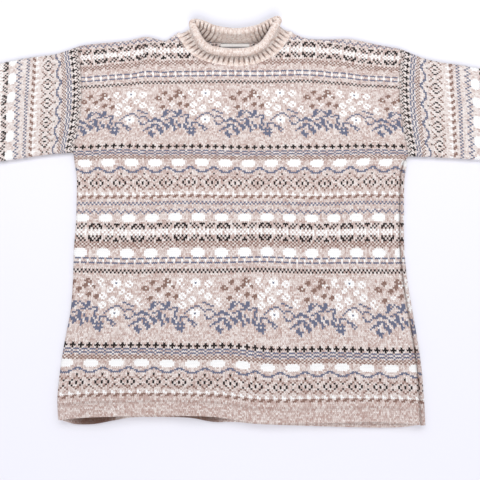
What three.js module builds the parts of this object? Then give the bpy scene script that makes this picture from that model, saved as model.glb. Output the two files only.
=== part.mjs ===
import * as THREE from 'three';

// A knitted jumper laid flat, in millimetres: X along the sleeves, Y towards the neck, Z up.
// The back lies on the surface, the front lies on the back, and the collar stands at the neck.

// Fabric and seams
const WALL = 3;                  // thickness of one layer of the knit
const SEAM_GAP = 0.3;            // space left between two pieces at a seam
const ARMHOLE_GAP = 0.5;         // the same at the curved armhole seams
const BODY_HEIGHT = 9.4;         // two layers and the air between them
const HEM_DEPTH = 29;            // depth of the turned hem
const HEM_WALL = 4.4;            // the knit turned up on itself
const HEM_HEIGHT = 12.2;         // front and back hem together
const HEM_FADE = 26;             // stretch over which the thicker hem settles into the body
const SIDE_SEAM_INSET = 8;       // the back wraps round the right side by this much

// Collar
const RIBS = 47;
const STATIONS_PER_RIB = 3;
const RIB_RISE = 0.9;
const ROLL_RADIUS = 4.5;         // middle of the wall in the outward roll
const ROLL_END_ANGLE = -50;      // degrees, where the rolled edge stops, below level
const ROLL_STEPS = 6;
const FOOT_STEPS = 3;

// Neck label, blank
const LABEL = { x: -9, top: 524.6, width: 52, depth: 20, thickness: 0.8, corner: 2 };

// Side edges of the body below the underarm, and the armhole lines above it
const SIDES = [
  { y: -121, left: -274, right: 280 },
  { y: -85, left: -279, right: 281 },
  { y: -50, left: -279, right: 281.5 },
  { y: 0, left: -275, right: 278.5 },
  { y: 50, left: -269, right: 273.5 },
  { y: 100, left: -269, right: 269 },
  { y: 150, left: -271, right: 268 },
  { y: 200, left: -271, right: 271 },
  { y: 270, left: -275, right: 277 },
  { y: 300, left: -281, right: 284 },
  { y: 322, left: -283.5, right: 285 },
  { y: 360, left: -280, right: 281.8 },
  { y: 410, left: -278, right: 280 },
  { y: 460, left: -281.5, right: 282.6 },
  { y: 517, left: -290, right: 289.5 },
];
const UNDERARM = { left: 316, right: 309 };
const UNDERARM_BLEND = 14;

// Lower edges: the front hem rides up a little, so the back hem shows under it
const HEMS = [
  { x: -275, front: -115, back: -116 },
  { x: -255, front: -112.2, back: -121.5 },
  { x: -225, front: -110, back: -121.5 },
  { x: -195, front: -109.4, back: -116.5 },
  { x: -165, front: -109, back: -112 },
  { x: -110, front: -108.4, back: -111.6 },
  { x: -75, front: -108.6, back: -113 },
  { x: -40, front: -110, back: -118.6 },
  { x: -10, front: -114, back: -118.4 },
  { x: 25, front: -119.4, back: -121.4 },
  { x: 120, front: -119.6, back: -124.6 },
  { x: 200, front: -118, back: -126.6 },
  { x: 250, front: -119.6, back: -126 },
  { x: 279, front: -121.6, back: -122.4 },
];

// Shoulder line, with the soft hump on the left
const SHOULDERS = [
  { x: -290, y: 516 },
  { x: -250, y: 523 },
  { x: -195, y: 529 },
  { x: -176, y: 534 },
  { x: -160, y: 537.5 },
  { x: -143, y: 533 },
  { x: -127, y: 529.5 },
  { x: -110, y: 541 },
  { x: 91, y: 543.5 },
  { x: 112, y: 535 },
  { x: 145, y: 532 },
  { x: 190, y: 533 },
  { x: 240, y: 521 },
  { x: 289, y: 511 },
];
const NECK_POINTS = { left: -110, right: 91 };

// Collar, once round from the left neck point: foot on the neckline, middle of the roll, and how far
// the band bellies out level before it rises
const COLLAR = [
  { footX: -109.3, footY: 541.2, footZ: 4.7, rollX: -83, rollY: 550, rollZ: 25, belly: 0.5 },
  { footX: -102, footY: 526, footZ: 7.4, rollX: -79, rollY: 536, rollZ: 25, belly: 0.9 },
  { footX: -90, footY: 508, footZ: 7.9, rollX: -70, rollY: 518.5, rollZ: 23, belly: 1 },
  { footX: -69, footY: 491.5, footZ: 7.9, rollX: -55, rollY: 503.5, rollZ: 21, belly: 1 },
  { footX: -38, footY: 481.5, footZ: 7.9, rollX: -31, rollY: 498, rollZ: 20, belly: 1 },
  { footX: -5, footY: 478.3, footZ: 7.9, rollX: -4, rollY: 497, rollZ: 19.5, belly: 1 },
  { footX: 28, footY: 482.5, footZ: 7.9, rollX: 21, rollY: 500, rollZ: 20, belly: 1 },
  { footX: 54, footY: 495, footZ: 7.9, rollX: 39, rollY: 509.5, rollZ: 22, belly: 1 },
  { footX: 71, footY: 510.5, footZ: 7.9, rollX: 50.5, rollY: 524, rollZ: 24, belly: 1 },
  { footX: 82, footY: 527.5, footZ: 7.4, rollX: 59.5, rollY: 540, rollZ: 26, belly: 0.9 },
  { footX: 90.2, footY: 543.6, footZ: 4.7, rollX: 67, rollY: 555, rollZ: 27, belly: 0.5 },
  { footX: 78, footY: 538.5, footZ: 2.65, rollX: 52, rollY: 552, rollZ: 23, belly: 0.25 },
  { footX: 42, footY: 530, footZ: 2.65, rollX: 30, rollY: 543, rollZ: 19.5, belly: 0.25 },
  { footX: -6, footY: 526, footZ: 2.65, rollX: -6, rollY: 537.5, rollZ: 18, belly: 0.25 },
  { footX: -58, footY: 530, footZ: 2.65, rollX: -44, rollY: 542, rollZ: 19.5, belly: 0.25 },
  { footX: -94, footY: 537.5, footZ: 2.65, rollX: -67, rollY: 550, rollZ: 23, belly: 0.25 },
];
const NECK_CLEARANCE = 1;        // the panels stop this far short of the collar's foot, along Y

// Necklines of the two panels, under the collar's foot
const FRONT_NECK = [
  { x: -110, y: 541.2 },
  { x: -102, y: 526 },
  { x: -90, y: 508 },
  { x: -69, y: 491.5 },
  { x: -38, y: 481.5 },
  { x: -5, y: 478.3 },
  { x: 28, y: 482.5 },
  { x: 54, y: 495 },
  { x: 71, y: 510.5 },
  { x: 82, y: 527.5 },
  { x: 91, y: 543.6 },
];
const BACK_NECK = [
  { x: -110, y: 541.2 },
  { x: -94, y: 537.5 },
  { x: -58, y: 530 },
  { x: -6, y: 526 },
  { x: 42, y: 530 },
  { x: 78, y: 538.5 },
  { x: 91, y: 543.6 },
];

// Sleeves from the armhole to the wrist: both edges of the flat tube and its height
const SLEEVE_LEFT = [
  { topX: -290.3, topY: 516, bottomX: -283.8, bottomY: 316, height: 9.4 },
  { topX: -327, topY: 502, bottomX: -318, bottomY: 313.5, height: 9.6 },
  { topX: -362, topY: 496.5, bottomX: -354, bottomY: 308.5, height: 9.8 },
  { topX: -408, topY: 487.5, bottomX: -397, bottomY: 301.5, height: 9.8 },
  { topX: -500, topY: 462, bottomX: -485, bottomY: 292, height: 9.8 },
  { topX: -615, topY: 426, bottomX: -596, bottomY: 280, height: 9.8 },
  { topX: -724, topY: 392, bottomX: -701, bottomY: 269, height: 9.8 },
  { topX: -753, topY: 382, bottomX: -729, bottomY: 266, height: 9.8 },
];
const SLEEVE_RIGHT = [
  { topX: 289.3, topY: 511, bottomX: 285.8, bottomY: 309, height: 9.4 },
  { topX: 326, topY: 493.5, bottomX: 321, bottomY: 308, height: 9.6 },
  { topX: 359, topY: 485, bottomX: 353, bottomY: 306, height: 9.8 },
  { topX: 404, topY: 477.5, bottomX: 396, bottomY: 303.5, height: 9.8 },
  { topX: 500, topY: 455.5, bottomX: 486, bottomY: 296, height: 9.8 },
  { topX: 615, topY: 427, bottomX: 598, bottomY: 286, height: 9.8 },
  { topX: 722, topY: 399, bottomX: 703, bottomY: 276, height: 9.8 },
  { topX: 751, topY: 389, bottomX: 731, bottomY: 273, height: 9.8 },
];
const SLEEVE_LENGTH = 460;
const SLEEVE_SECTIONS = 12;
const SLEEVE_COLUMNS = 8;        // across the flat of each layer
const SLEEVE_TURN_STEPS = 6;     // round each edge of the tube
const WRIST_HEM = HEM_DEPTH / SLEEVE_LENGTH;  // share of the sleeve in its turned hem
const WRIST_FADE = 1.6 * WRIST_HEM;           // and with the stretch that settles into it
const HEAD_REACH = 0.25;         // share of the sleeve whose rings still curve like the armhole

// Soft folds of the front: middle, direction in degrees, half width, half length and rise
const FRONT_FOLDS = [
  { x: -160, y: 505, turn: 84, width: 15, length: 46, rise: 7 },
  { x: -236, y: 470, turn: 62, width: 20, length: 60, rise: 2.6 },
  { x: 178, y: 492, turn: 98, width: 22, length: 60, rise: 3 },
  { x: 232, y: 392, turn: 58, width: 26, length: 80, rise: 2.4 },
  { x: -228, y: 348, turn: 130, width: 26, length: 90, rise: 2.8 },
  { x: 214, y: 250, turn: 118, width: 30, length: 100, rise: 2.2 },
  { x: -205, y: 60, turn: 86, width: 34, length: 120, rise: 2.4 },
  { x: 40, y: 150, turn: 95, width: 46, length: 150, rise: 1.8 },
  { x: 190, y: -20, turn: 80, width: 34, length: 90, rise: 2 },
  { x: -55, y: -70, turn: 92, width: 30, length: 62, rise: 1.6 },
];
const FOLD_FADE = 26;            // folds die away this far from a seam

// Soft folds of the sleeves: place along and across the tube, as shares, and sizes in millimetres
const SLEEVE_FOLDS = [
  { along: 0.22, across: 0.12, turn: 20, width: 12, length: 42, rise: 3 },
  { along: 0.5, across: 0.55, turn: 12, width: 18, length: 90, rise: 3.4 },
  { along: 0.72, across: 0.3, turn: -8, width: 15, length: 70, rise: 2.6 },
  { along: 0.88, across: 0.7, turn: 6, width: 12, length: 46, rise: 2 },
];

const COLOURS = { knit: 0xded4cb, label: 0xf4f2ee };

const smooth = (low, high, value) => THREE.MathUtils.smoothstep(value, low, high);
const mix = THREE.MathUtils.lerp;
const radians = THREE.MathUtils.degToRad;

// One column of a table at a place along it, on a smooth curve through the rows
function along(table, placeKey, valueKey, place) {
  const last = table.length - 1;
  const at = THREE.MathUtils.clamp(place, table[0][placeKey], table[last][placeKey]);
  let row = 0;
  while (row < last - 1 && table[row + 1][placeKey] < at) row += 1;
  const slope = (k) => {
    const before = table[Math.max(k - 1, 0)];
    const after = table[Math.min(k + 1, last)];
    return (after[valueKey] - before[valueKey]) / (after[placeKey] - before[placeKey]);
  };
  const span = table[row + 1][placeKey] - table[row][placeKey];
  const t = (at - table[row][placeKey]) / span;
  const rest = 1 - t;
  return (1 + 2 * t) * rest * rest * table[row][valueKey]
    + t * rest * rest * span * slope(row)
    + t * t * (3 - 2 * t) * table[row + 1][valueKey]
    - t * t * rest * span * slope(row + 1);
}

// A closed wall from its outer and inner points, row by row; a tube closes on itself across
function wall(name, outer, inner, closedAcross, colour) {
  const rows = outer.length;
  const columns = outer[0].length;
  const points = [...outer.flat(), ...inner.flat()];
  const outside = (j, i) => j * columns + (i % columns);
  const inside = (j, i) => rows * columns + j * columns + (i % columns);
  const faces = [];
  const quad = (a, b, c, d) => faces.push(a, b, c, a, c, d);
  const spans = closedAcross ? columns : columns - 1;
  for (let j = 0; j < rows - 1; j += 1) {
    for (let i = 0; i < spans; i += 1) {
      quad(outside(j, i), outside(j, i + 1), outside(j + 1, i + 1), outside(j + 1, i));
      quad(inside(j, i), inside(j + 1, i), inside(j + 1, i + 1), inside(j, i + 1));
    }
  }
  for (let i = 0; i < spans; i += 1) {
    quad(outside(0, i), inside(0, i), inside(0, i + 1), outside(0, i + 1));
    quad(outside(rows - 1, i), outside(rows - 1, i + 1), inside(rows - 1, i + 1), inside(rows - 1, i));
  }
  if (!closedAcross) {
    for (let j = 0; j < rows - 1; j += 1) {
      quad(outside(j, 0), outside(j + 1, 0), inside(j + 1, 0), inside(j, 0));
      quad(outside(j, spans), inside(j, spans), inside(j + 1, spans), outside(j + 1, spans));
    }
  }
  return closedMesh(name, points, faces, colour);
}

// A mesh from points and faces, turned so that its faces point outwards
function closedMesh(name, points, faces, colour) {
  let volume = 0;
  for (let k = 0; k < faces.length; k += 3) {
    const [a, b, c] = [points[faces[k]], points[faces[k + 1]], points[faces[k + 2]]];
    volume += a.dot(b.clone().cross(c));
  }
  if (volume < 0) faces.reverse();
  const geometry = new THREE.BufferGeometry().setFromPoints(points);
  geometry.setIndex(faces);
  geometry.computeVertexNormals();
  const material = new THREE.MeshStandardMaterial({ color: colour, roughness: 0.95, metalness: 0 });
  const mesh = new THREE.Mesh(geometry, material);
  mesh.name = name;
  return mesh;
}

// Height of the laid body and thickness of its wall, at a distance above the hem edge
const bodyHeight = (up) => mix(HEM_HEIGHT, BODY_HEIGHT, smooth(HEM_DEPTH, HEM_DEPTH + HEM_FADE, up));
const bodyWall = (up) => mix(HEM_WALL, WALL, smooth(HEM_DEPTH, HEM_DEPTH + HEM_FADE / 4, up));

// Rise of a list of folds at a point
function foldRise(folds, x, y) {
  let rise = 0;
  for (const fold of folds) {
    const turn = radians(fold.turn);
    const lengthwise = (x - fold.x) * Math.cos(turn) + (y - fold.y) * Math.sin(turn);
    const crosswise = (y - fold.y) * Math.cos(turn) - (x - fold.x) * Math.sin(turn);
    rise += fold.rise * Math.exp(-((lengthwise / fold.length) ** 2) - (crosswise / fold.width) ** 2);
  }
  return rise;
}

// Left and right edges of the body at a height up the garment, and how far each side is opened flat
const leftEdge = (y) => along(SIDES, 'y', 'left', y);
const rightEdge = (y) => along(SIDES, 'y', 'right', y);
const leftOpen = (y) => smooth(UNDERARM.left - UNDERARM_BLEND, UNDERARM.left, y);
const rightOpen = (y) => smooth(UNDERARM.right - UNDERARM_BLEND, UNDERARM.right, y);

// Top edge of a panel: the shoulder line outside the neck, its own neckline inside
function topEdge(neck, x) {
  if (x <= NECK_POINTS.left || x >= NECK_POINTS.right) return along(SHOULDERS, 'x', 'y', x) - NECK_CLEARANCE;
  return along(neck, 'x', 'y', x) - NECK_CLEARANCE;
}

// How much of the shoulder's turn-over a column has: none inside the neck
const SHOULDER_FADE = 5;
function shoulderTurn(x) {
  const left = 1 - smooth(NECK_POINTS.left - SHOULDER_FADE, NECK_POINTS.left, x);
  const right = smooth(NECK_POINTS.right, NECK_POINTS.right + SHOULDER_FADE, x);
  return Math.max(left, right);
}

// Place of a column's line: columns near a side follow that side, those in the middle run straight
const NOMINAL_HALF = 280;
function columnX(nominal, y) {
  const share = (nominal / NOMINAL_HALF) ** 2;
  if (nominal < 0) return nominal + share * (leftEdge(y) + NOMINAL_HALF);
  return nominal + share * (rightEdge(y) - NOMINAL_HALF);
}

// Rows of a panel from hem to top: distance above the hem, then shares of the rest, closer together
// beside the armholes, then the shoulder's turn
const HEM_ROWS = [0, 15, HEM_DEPTH, HEM_DEPTH + HEM_FADE / 4, HEM_DEPTH + HEM_FADE];
const ROW_SHARES = [
  0.085, 0.17, 0.255, 0.34, 0.425, 0.51, 0.58, 0.625, 0.658, 0.69, 0.73, 0.775, 0.82, 0.865, 0.91, 0.955,
];
const TURN_STEPS = 3;
function rowPlaces(hem, top, radius) {
  const places = HEM_ROWS.map((up) => ({ y: hem + up, turn: 1 }));
  const first = hem + HEM_DEPTH + HEM_FADE;
  const last = top - radius;
  for (const share of ROW_SHARES) places.push({ y: mix(first, last, share), turn: 1 });
  for (let k = 0; k <= TURN_STEPS; k += 1) {
    places.push({ y: last + radius * Math.sin((k / TURN_STEPS) * Math.PI / 2), turn: 1 - k / TURN_STEPS });
  }
  return places;
}

// Angle of a turned edge: from level with the seam to the top of the layer
const turnAngle = (share, radius) => mix(SEAM_GAP / 2 / radius, Math.PI / 2, share);

// Points of one panel; the back is the front's form turned over, and wraps round the right side
const FRONT_COLUMNS = [
  -262, -240, -215, -192, -176, -160, -144, -128, -117, -110, -104, -97, -89, -79, -68, -54, -38, -21, -5,
  11, 28, 42, 54, 63, 71, 77, 82, 87, 91, 98, 112, 132, 155, 180, 205, 230, 254,
];
const BACK_COLUMNS = [
  -255, -210, -160, -127, -110, -94, -76, -58, -32, -6, 18, 42, 60, 78, 91, 112, 160, 215, 262,
];
const SIDE_TURN_STEPS = 3;
const WRAP_STEPS = 6;

function panelPoint(side, column, place, neck) {
  const { y } = place;
  const hem = along(HEMS, 'x', side, column.nominal);
  const height = bodyHeight(y - hem);
  const thickness = bodyWall(y - hem);
  const radius = height / 2;
  let outer;
  let inner;
  if (column.kind === 'left turn') {
    const angle = turnAngle(column.share, radius);
    const edge = leftEdge(y);
    const open = leftOpen(y);
    const flatX = edge + radius * column.share;
    outer = { x: edge + radius * (1 - Math.cos(angle)), up: radius * Math.sin(angle) };
    inner = {
      x: edge + radius - (radius - thickness) * Math.cos(angle),
      up: (radius - thickness) * Math.sin(angle),
    };
    outer = { x: mix(outer.x, flatX, open), up: mix(outer.up, radius, open) };
    inner = { x: mix(inner.x, flatX, open), up: mix(inner.up, radius - thickness, open) };
  } else if (column.kind === 'right wrap') {
    const edge = rightEdge(y);
    const open = rightOpen(y);
    const angle = mix(-Math.PI / 2, Math.PI / 2, Math.min(column.share * (WRAP_STEPS + 1) / WRAP_STEPS, 1));
    const onTop = column.share === 1 ? SIDE_SEAM_INSET - SEAM_GAP / 2 - radius : 0;
    const flatX = edge - radius + radius * column.share;
    outer = { x: edge - radius + radius * Math.cos(angle) - onTop, up: -radius * Math.sin(angle) };
    inner = {
      x: edge - radius + (radius - thickness) * Math.cos(angle) - onTop,
      up: -(radius - thickness) * Math.sin(angle),
    };
    outer = { x: mix(outer.x, flatX, open), up: mix(outer.up, radius, open) };
    inner = { x: mix(inner.x, flatX, open), up: mix(inner.up, radius - thickness, open) };
  } else {
    let x = columnX(column.nominal, y);
    if (column.kind === 'right end') {
      x = mix(rightEdge(y) - SIDE_SEAM_INSET - SEAM_GAP / 2, rightEdge(y), rightOpen(y));
    }
    outer = { x, up: radius };
    inner = { x, up: radius - thickness };
  }

  const turned = shoulderTurn(column.nominal);
  const top = topEdge(neck, column.nominal);
  let outerY = y;
  let innerY = y;
  if (place.turn < 1) {
    const angle = turnAngle(place.turn, radius);
    outerY = mix(y, top - radius * (1 - Math.cos(angle)), turned);
    innerY = mix(y, top - radius + (radius - thickness) * Math.cos(angle), turned);
    outer.up *= mix(1, Math.sin(angle), turned);
    inner.up *= mix(1, Math.sin(angle), turned);
  }

  let rise = 0;
  if (side === 'front') {
    const fade = smooth(0, FOLD_FADE, outer.x - leftEdge(y) - radius)
      * smooth(0, FOLD_FADE, rightEdge(y) - SIDE_SEAM_INSET - outer.x)
      * smooth(0, FOLD_FADE, top - radius - y);
    rise = fade * foldRise(FRONT_FOLDS, outer.x, y);
  }
  const level = (up) => (side === 'front' ? radius + up + rise : radius - up);
  return {
    outer: new THREE.Vector3(outer.x, outerY, level(outer.up)),
    inner: new THREE.Vector3(inner.x, innerY, level(inner.up)),
  };
}

function panel(name, neck, columns) {
  const places = columns.map((column) => rowPlaces(
    along(HEMS, 'x', name, column.nominal),
    topEdge(neck, column.nominal),
    BODY_HEIGHT / 2,
  ));
  const rows = places[0].map((_, j) => (
    columns.map((column, i) => panelPoint(name, column, places[i][j], neck))
  ));
  const outer = rows.map((row) => row.map((point) => point.outer));
  const inner = rows.map((row) => row.map((point) => point.inner));
  return wall(name, outer, inner, false, COLOURS.knit);
}

const leftTurn = Array.from({ length: SIDE_TURN_STEPS }, (_, k) => (
  { kind: 'left turn', nominal: -NOMINAL_HALF, share: k / SIDE_TURN_STEPS }
));
const rightWrap = Array.from({ length: WRAP_STEPS + 2 }, (_, k) => (
  { kind: 'right wrap', nominal: NOMINAL_HALF, share: k / (WRAP_STEPS + 1) }
));
const flat = (nominal) => ({ kind: 'flat', nominal });

function front() {
  const columns = [...leftTurn, ...FRONT_COLUMNS.map(flat), { kind: 'right end', nominal: NOMINAL_HALF }];
  return panel('front', FRONT_NECK, columns);
}

function back() {
  const columns = [...leftTurn, ...BACK_COLUMNS.map(flat), ...rightWrap];
  return panel('back', BACK_NECK, columns);
}

// One ring of a flat tube: outer and inner points as a distance from the lower edge and a height
function tubeRing(breadth, height, thickness) {
  const ring = [];
  const radius = height / 2;
  const flatSpan = breadth - 2 * radius;
  const addTurn = (middle, start) => {
    for (let k = 0; k <= SLEEVE_TURN_STEPS; k += 1) {
      const angle = start + (k / SLEEVE_TURN_STEPS) * Math.PI;
      const point = (reach) => (
        { across: middle + reach * Math.cos(angle), z: radius + reach * Math.sin(angle) }
      );
      ring.push({ outer: point(radius), inner: point(radius - thickness) });
    }
  };
  const addFlat = (from, to, outerZ, innerZ) => {
    for (let k = 1; k < SLEEVE_COLUMNS; k += 1) {
      const across = mix(from, to, k / SLEEVE_COLUMNS);
      ring.push({ outer: { across, z: outerZ }, inner: { across, z: innerZ } });
    }
  };
  addTurn(radius, Math.PI / 2);
  addFlat(radius, radius + flatSpan, 0, thickness);
  addTurn(radius + flatSpan, -Math.PI / 2);
  addFlat(radius + flatSpan, radius, height, height - thickness);
  return ring;
}

// Places of a sleeve's rings as shares of its length: even ones, then the turned hem's edge and rows
function sleevePlaces() {
  const hemStart = 1 - WRIST_FADE;
  const even = Array.from({ length: SLEEVE_SECTIONS }, (_, k) => hemStart * (k / (SLEEVE_SECTIONS - 1)));
  return [...even, 1 - WRIST_HEM, 1 - WRIST_HEM / 2, 1];
}

// A sleeve: rings from the armhole line to the wrist, the first ones curved like the armhole
function sleeve(name, rows, armhole) {
  const table = rows.map((row, k) => ({ ...row, place: k / (rows.length - 1) }));
  const outer = [];
  const inner = [];
  for (const place of sleevePlaces()) {
    const column = (key) => along(table, 'place', key, place);
    const bottom = new THREE.Vector3(column('bottomX'), column('bottomY'), 0);
    const top = new THREE.Vector3(column('topX'), column('topY'), 0);
    const across = top.clone().sub(bottom);
    const breadth = across.length();
    across.normalize();
    const inWrist = smooth(1 - WRIST_FADE, 1 - WRIST_HEM, place);
    const height = mix(column('height'), HEM_HEIGHT, inWrist);
    const headShare = 1 - smooth(0, HEAD_REACH, place);
    const folds = SLEEVE_FOLDS.map((fold) => (
      { ...fold, x: fold.along * SLEEVE_LENGTH, y: fold.across * breadth }
    ));
    const foldFade = smooth(0, FOLD_FADE, place * SLEEVE_LENGTH) * (1 - inWrist);
    const toPoint = ({ across: distance, z }, isUpperLayer) => {
      const point = bottom.clone().addScaledVector(across, distance);
      const share = distance / breadth;
      const headX = armhole.edge(mix(bottom.y, top.y, share)) + armhole.outward * ARMHOLE_GAP;
      point.x += headShare * (headX - mix(bottom.x, top.x, share));
      const edgeFade = smooth(0, FOLD_FADE, distance) * smooth(0, FOLD_FADE, breadth - distance);
      const rise = edgeFade * foldFade * foldRise(folds, place * SLEEVE_LENGTH, distance);
      point.z = isUpperLayer ? z + rise : z;
      return point;
    };
    const ring = tubeRing(breadth, height, mix(WALL, HEM_WALL, inWrist));
    outer.push(ring.map((both) => toPoint(both.outer, both.outer.z > height / 2)));
    inner.push(ring.map((both) => toPoint(both.inner, both.outer.z > height / 2)));
  }
  return wall(name, outer, inner, true, COLOURS.knit);
}

// One column of the collar's table on a smooth closed curve; turn runs from 0 to 1
function collarValue(key, turn) {
  const count = COLLAR.length;
  const whole = ((turn % 1) + 1) % 1 * count;
  const row = Math.floor(whole);
  const t = whole - row;
  const [a, b, c, d] = [-1, 0, 1, 2].map((step) => COLLAR[(row + step + count) % count][key]);
  return 0.5 * (2 * b + (c - a) * t + (2 * a - 5 * b + 4 * c - d) * t * t
    + (3 * b - a - 3 * c + d) * t * t * t);
}

const collarPoint = (kind, turn) => new THREE.Vector3(
  collarValue(`${kind}X`, turn),
  collarValue(`${kind}Y`, turn),
  collarValue(`${kind}Z`, turn),
);

// Places once round the collar, evenly spaced along the curve midway between foot and roll
function collarStations(count) {
  const samples = 800;           // fine enough to measure the curve's length
  const lengths = [0];
  const middle = (turn) => collarPoint('foot', turn).add(collarPoint('roll', turn)).multiplyScalar(0.5);
  for (let k = 1; k <= samples; k += 1) {
    lengths.push(lengths[k - 1] + middle(k / samples).distanceTo(middle((k - 1) / samples)));
  }
  const places = [];
  let sample = 0;
  for (let station = 0; station < count; station += 1) {
    const wanted = lengths[samples] * station / count;
    while (lengths[sample + 1] < wanted) sample += 1;
    places.push((sample + (wanted - lengths[sample]) / (lengths[sample + 1] - lengths[sample])) / samples);
  }
  return places;
}

// Middle line of the collar's wall at one place: from the foot up the rib and round the roll
function collarPath(turn) {
  const foot = collarPoint('foot', turn);
  const roll = collarPoint('roll', turn);
  const nudge = 0.002;           // short step along the curve, to find its direction
  const forward = collarPoint('roll', turn + nudge).sub(collarPoint('roll', turn - nudge));
  forward.setZ(0).normalize();
  const outward = new THREE.Vector3(forward.y, -forward.x, 0).negate();
  const start = roll.clone().addScaledVector(outward, -ROLL_RADIUS);
  const corner = new THREE.Vector3(start.x, start.y, foot.z);
  const bend = foot.clone().add(start).multiplyScalar(0.5).lerp(corner, collarValue('belly', turn));
  const path = [];
  for (let k = 0; k < FOOT_STEPS; k += 1) {
    const t = k / FOOT_STEPS;
    path.push(new THREE.Vector3()
      .addScaledVector(foot, (1 - t) ** 2)
      .addScaledVector(bend, 2 * t * (1 - t))
      .addScaledVector(start, t * t));
  }
  for (let k = 0; k <= ROLL_STEPS; k += 1) {
    const angle = radians(mix(180, ROLL_END_ANGLE, k / ROLL_STEPS));
    const point = roll.clone().addScaledVector(outward, ROLL_RADIUS * Math.cos(angle));
    point.z += ROLL_RADIUS * Math.sin(angle);
    path.push(point);
  }
  return path;
}

// The collar: a ribbed band on the neckline, its plain edge rolled outwards
function collar() {
  const turns = collarStations(RIBS * STATIONS_PER_RIB);
  const paths = turns.map(collarPath);
  const count = paths.length;
  const outer = [];
  const inner = [];
  for (let k = 0; k < paths[0].length; k += 1) {
    outer.push([]);
    inner.push([]);
    for (let station = 0; station < count; station += 1) {
      const here = paths[station];
      const round = paths[(station + 1) % count][k].clone().sub(paths[(station - 1 + count) % count][k]);
      const up = here[Math.min(k + 1, here.length - 1)].clone().sub(here[Math.max(k - 1, 0)]);
      if (k === 0) up.setZ(0);
      const face = round.cross(up).normalize();
      const ribFade = 1 - smooth(FOOT_STEPS - 0.5, FOOT_STEPS + 0.6, k);
      const wave = 0.5 + 0.5 * Math.cos((2 * Math.PI * station) / STATIONS_PER_RIB);
      outer[k].push(here[k].clone().addScaledVector(face, WALL / 2 + RIB_RISE * wave * ribFade));
      inner[k].push(here[k].clone().addScaledVector(face, -WALL / 2));
    }
  }
  return wall('collar', outer, inner, true, COLOURS.knit);
}

// The blank label sewn inside the back neck
function neckLabel() {
  const { width, depth, corner, thickness, top } = LABEL;
  const outline = new THREE.Shape();
  outline.moveTo(-width / 2, 0);
  outline.lineTo(-width / 2, -depth + corner);
  outline.quadraticCurveTo(-width / 2, -depth, -width / 2 + corner, -depth);
  outline.lineTo(width / 2 - corner, -depth);
  outline.quadraticCurveTo(width / 2, -depth, width / 2, -depth + corner);
  outline.lineTo(width / 2, 0);
  outline.closePath();
  const geometry = new THREE.ExtrudeGeometry(outline, {
    depth: thickness,
    bevelEnabled: false,
    curveSegments: 3,
  });
  const material = new THREE.MeshStandardMaterial({ color: COLOURS.label, roughness: 0.8, metalness: 0 });
  const mesh = new THREE.Mesh(geometry, material);
  mesh.name = 'neck_label';
  mesh.position.set(LABEL.x, top, WALL + SEAM_GAP);
  return mesh;
}

// The garment, moved so that its box stands centred on the origin
const jumper = new THREE.Group();
jumper.add(
  front(),
  back(),
  sleeve('sleeve_left', SLEEVE_LEFT, { edge: leftEdge, outward: -1 }),
  sleeve('sleeve_right', SLEEVE_RIGHT, { edge: rightEdge, outward: 1 }),
  collar(),
  neckLabel(),
);
const middle = new THREE.Box3().setFromObject(jumper).getCenter(new THREE.Vector3());
jumper.position.set(-middle.x, -middle.y, 0);

const part = new THREE.Group();
part.add(jumper);

export default part;
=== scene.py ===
import math

import bpy
import numpy as np
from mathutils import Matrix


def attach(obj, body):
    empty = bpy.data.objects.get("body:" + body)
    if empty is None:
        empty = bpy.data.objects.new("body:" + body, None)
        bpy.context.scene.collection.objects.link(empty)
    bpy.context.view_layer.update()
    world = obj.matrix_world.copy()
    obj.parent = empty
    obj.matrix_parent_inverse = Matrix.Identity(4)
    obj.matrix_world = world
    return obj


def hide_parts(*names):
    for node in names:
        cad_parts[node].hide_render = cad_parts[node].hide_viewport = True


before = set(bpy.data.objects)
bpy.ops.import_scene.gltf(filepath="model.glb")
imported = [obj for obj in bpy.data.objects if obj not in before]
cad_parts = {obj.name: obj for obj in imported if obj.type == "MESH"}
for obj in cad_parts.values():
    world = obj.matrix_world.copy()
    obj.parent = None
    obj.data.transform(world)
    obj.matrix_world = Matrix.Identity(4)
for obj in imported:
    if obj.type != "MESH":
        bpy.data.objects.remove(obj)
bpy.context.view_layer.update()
bpy.ops.object.select_all(action="DESELECT")


# The front: one knitted panel of wool and cotton marl, with patterned bands worked in by the row.
# It runs from a turned plain hem to the shoulders and the scooped neck, and lies on the back.
# Its left edge rolls over to meet the back; its right edge stops 8 mm in, at the side seam.

# Sizes are in millimetres, with X along the sleeves, Y towards the neck and Z up
HALF_WIDTH = 280
STITCHES = 172
STITCH = 2 * HALF_WIDTH / STITCHES
WALL = 3.0
SEAM_GAP = 0.3
LEAST_STITCH = 0.9
BODY_HEIGHT = 9.4
HEM_DEPTH = 29
HEM_WALL = 4.4
HEM_HEIGHT = 12.2
HEM_FADE = 26
HEM_LINE = -108.6
HEM_STITCHING, STITCHING_WIDTH, STITCHING_DIP = 21, 1.5, 0.5
SIDE_SEAM_INSET, SIDE_SEAM_WIDTH, SIDE_SEAM_DIP = 8, 2.2, 0.9
ARMHOLE_WIDTH, ARMHOLE_DIP, BACK_ARMHOLE_DIP = 2.6, 0.35, 0.7
EDGE_FADE = 6
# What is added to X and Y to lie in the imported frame
PLACE_IN_FRAME = (1.0, -217.382)

# Height, left edge and right edge of the body
SIDES = np.array([
    (-121, -274, 280), (-85, -279, 281), (-50, -279, 281.5), (0, -275, 278.5), (50, -269, 273.5),
    (100, -269, 269), (150, -271, 268), (200, -271, 271), (270, -275, 277), (300, -281, 284),
    (322, -282.5, 284), (360, -277.5, 279.5), (410, -275.5, 277.5), (460, -279.5, 280.5),
    (517, -290, 289.5),
])
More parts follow.
